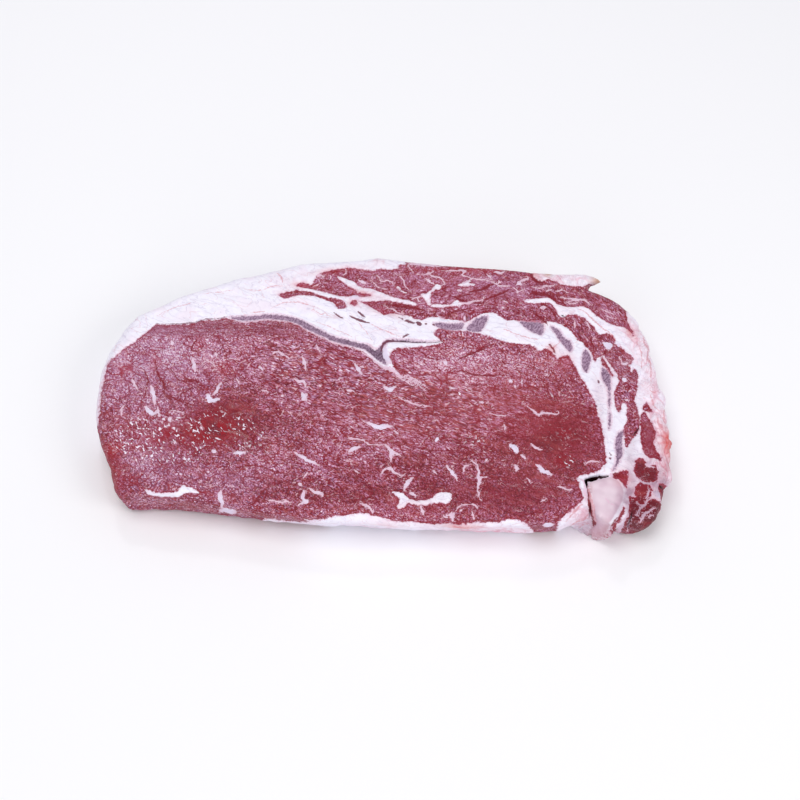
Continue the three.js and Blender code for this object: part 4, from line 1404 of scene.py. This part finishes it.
def zoneEdges(b, at):
    # How far inside the lean, the silverskin and each kind of line the surface lies, made uneven.
    ragged = b.swing(b.cloud(at, 0.6, 4.0, 0.72), 2.6)
    fineRagged = b.swing(b.cloud(at, 1.1, 2.0, 0.65), 1.5)
    wobble = b.swing(b.cloud(at, 0.45, 1.0), 1.2)
    widen = b.ramp(b.cloud(at, 0.5, 2.0), 0.3, 0.7, 0.7, 1.6)
    return {
        "lean": b.plus(b.field("lean"), ragged),
        "skin": b.plus(b.field("skin"), b.plus(fineRagged, b.times(ragged, 0.4))),
        "pink": b.gap("pink", widen, wobble, fineRagged),
        "wine": b.gap("wine", widen, wobble, fineRagged),
        "white": b.gap("white", widen, b.times(wobble, 1.7), b.times(fineRagged, 0.55)),
        "brown": b.gap("brown", widen, b.times(wobble, 0.4), b.times(fineRagged, 0.5)),
        "slit": b.gap("slit", 1.0, b.times(wobble, 0.3), b.times(fineRagged, 0.5)),
    }


def groundLook(b, at, inside, setup):
    # Lean, fat and silverskin, each with a border where it meets the next, and their height.
    leanColour, leanHeight = leanLook(b, at, setup)
    fatColour, fatHeight = fatLook(b, at)
    nearFat = b.ramp(inside["lean"], 1.3, 0.2, 0.0, 0.5)
    nearMarbling = b.ramp(inside["white"], -1.0, -0.1, 0.0, 0.4)
    leanColour = b.paint(leanColour, ("seam", nearFat), ("seam", nearMarbling))
    fatColour = b.paint(fatColour, ("border", b.ramp(inside["lean"], -0.7, 0.0, 0.0, 0.55)))
    isLean = b.ramp(inside["lean"], -0.15, 0.2)
    colour = b.mix(isLean, fatColour, leanColour)
    colour = b.paint(colour, ("border", b.ramp(inside["skin"], -0.7, -0.1, 0.0, 0.4)))
    colour = b.mix(b.ramp(inside["skin"], 0.0, 0.6), colour, skinLook(b, at))
    return colour, b.blend(isLean, fatHeight, leanHeight), isLean


def marblingLook(b, at, colour, inside, isLean):
    # White lines over the lean, with fine branches beside them.
    branches = b.thread(b.cloud(b.bent(at, 0.5, 1.6), 0.5, 1.0), 0.03)
    branches = b.times(branches, b.ramp(inside["white"], -2.8, -0.8, 0.0, 0.7), isLean)
    colour = b.paint(colour, ("thinMarbling", branches))
    thick = b.ramp(b.field("whiteHalf"), 0.2, 0.95)
    marbling = b.mix(thick, b.tint["thinMarbling"], b.tint["marbling"])
    # painted shade in the dusk patches dims the marbling too
    marbling = b.paint(marbling, ("dusk", b.field("dusk")))
    shows = b.times(b.ramp(inside["white"], -0.26, 0.1), b.ramp(thick, 0, 1, 0.92, 1))
    return b.mix(shows, colour, marbling)


def makeMeat(setup):
    material = bpy.data.materials.new("rawMeat")
    material.use_nodes = True
    b = NodeBench(material.node_tree, setup["tints"])
    raw = b.node("TexCoord").outputs["Object"]
    at = b.node("VectorMath", {0: raw, "Scale": 1 / mm}, operation="SCALE").outputs[0]
    inside = zoneEdges(b, at)
    colour, height, isLean = groundLook(b, at, inside, setup)
    colour = b.paint(
        colour,
        ("pink", b.ramp(inside["pink"], -0.3, 0.4, 0.0, 0.6)),
        ("brown", b.ramp(inside["brown"], -0.35, 0.3, 0.0, 0.95)),
        # dried juice, and painted shade in thin folds
        ("wine", b.ramp(inside["wine"], -0.4, 0.25, 0.0, 0.92)),
    )
    colour = marblingLook(b, at, colour, inside, isLean)
    # painted shade in the slits
    colour = b.paint(colour, ("slit", b.ramp(inside["slit"], -0.25, 0.25)))
    # Painted shade: deep in the crack the surface is near black, turning dark red towards its right end.
    crackShadeColour = b.mix(b.ramp(b.parts(at)[0], 85, 90), b.tint["crack"], b.tint["wine"])
    bump = {"Strength": setup["bump"], "Distance": setup["bumpHeight"] * mm, "Height": height}
    smoothest, roughest = setup["roughness"]
    dry, wet = setup["coat"]
    sockets = {
        "Base Color": b.mix(b.field("deep"), colour, crackShadeColour),
        "Normal": b.node("Bump", bump).outputs[0],
        "Roughness": b.plus(b.times(b.cloud(at, 0.9, 3.0, 0.65), roughest - smoothest), smoothest),
        "Coat Weight": b.plus(dry, b.times(b.field("wet"), wet - dry)),
    }
    surface = material.node_tree.nodes["Principled BSDF"]
    for name, socket in sockets.items():
        material.node_tree.links.new(socket, surface.inputs[name])
    surface.inputs["Coat Roughness"].default_value = setup["coatRoughness"]
    surface.inputs["Specular IOR Level"].default_value = setup["specular"]
    return material


steakMesh.materials.append(makeMeat(meat))
steak = addToScene(slab["name"], steakMesh)
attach(steak, "root")
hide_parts(slab["node"])
print("meat coloured")
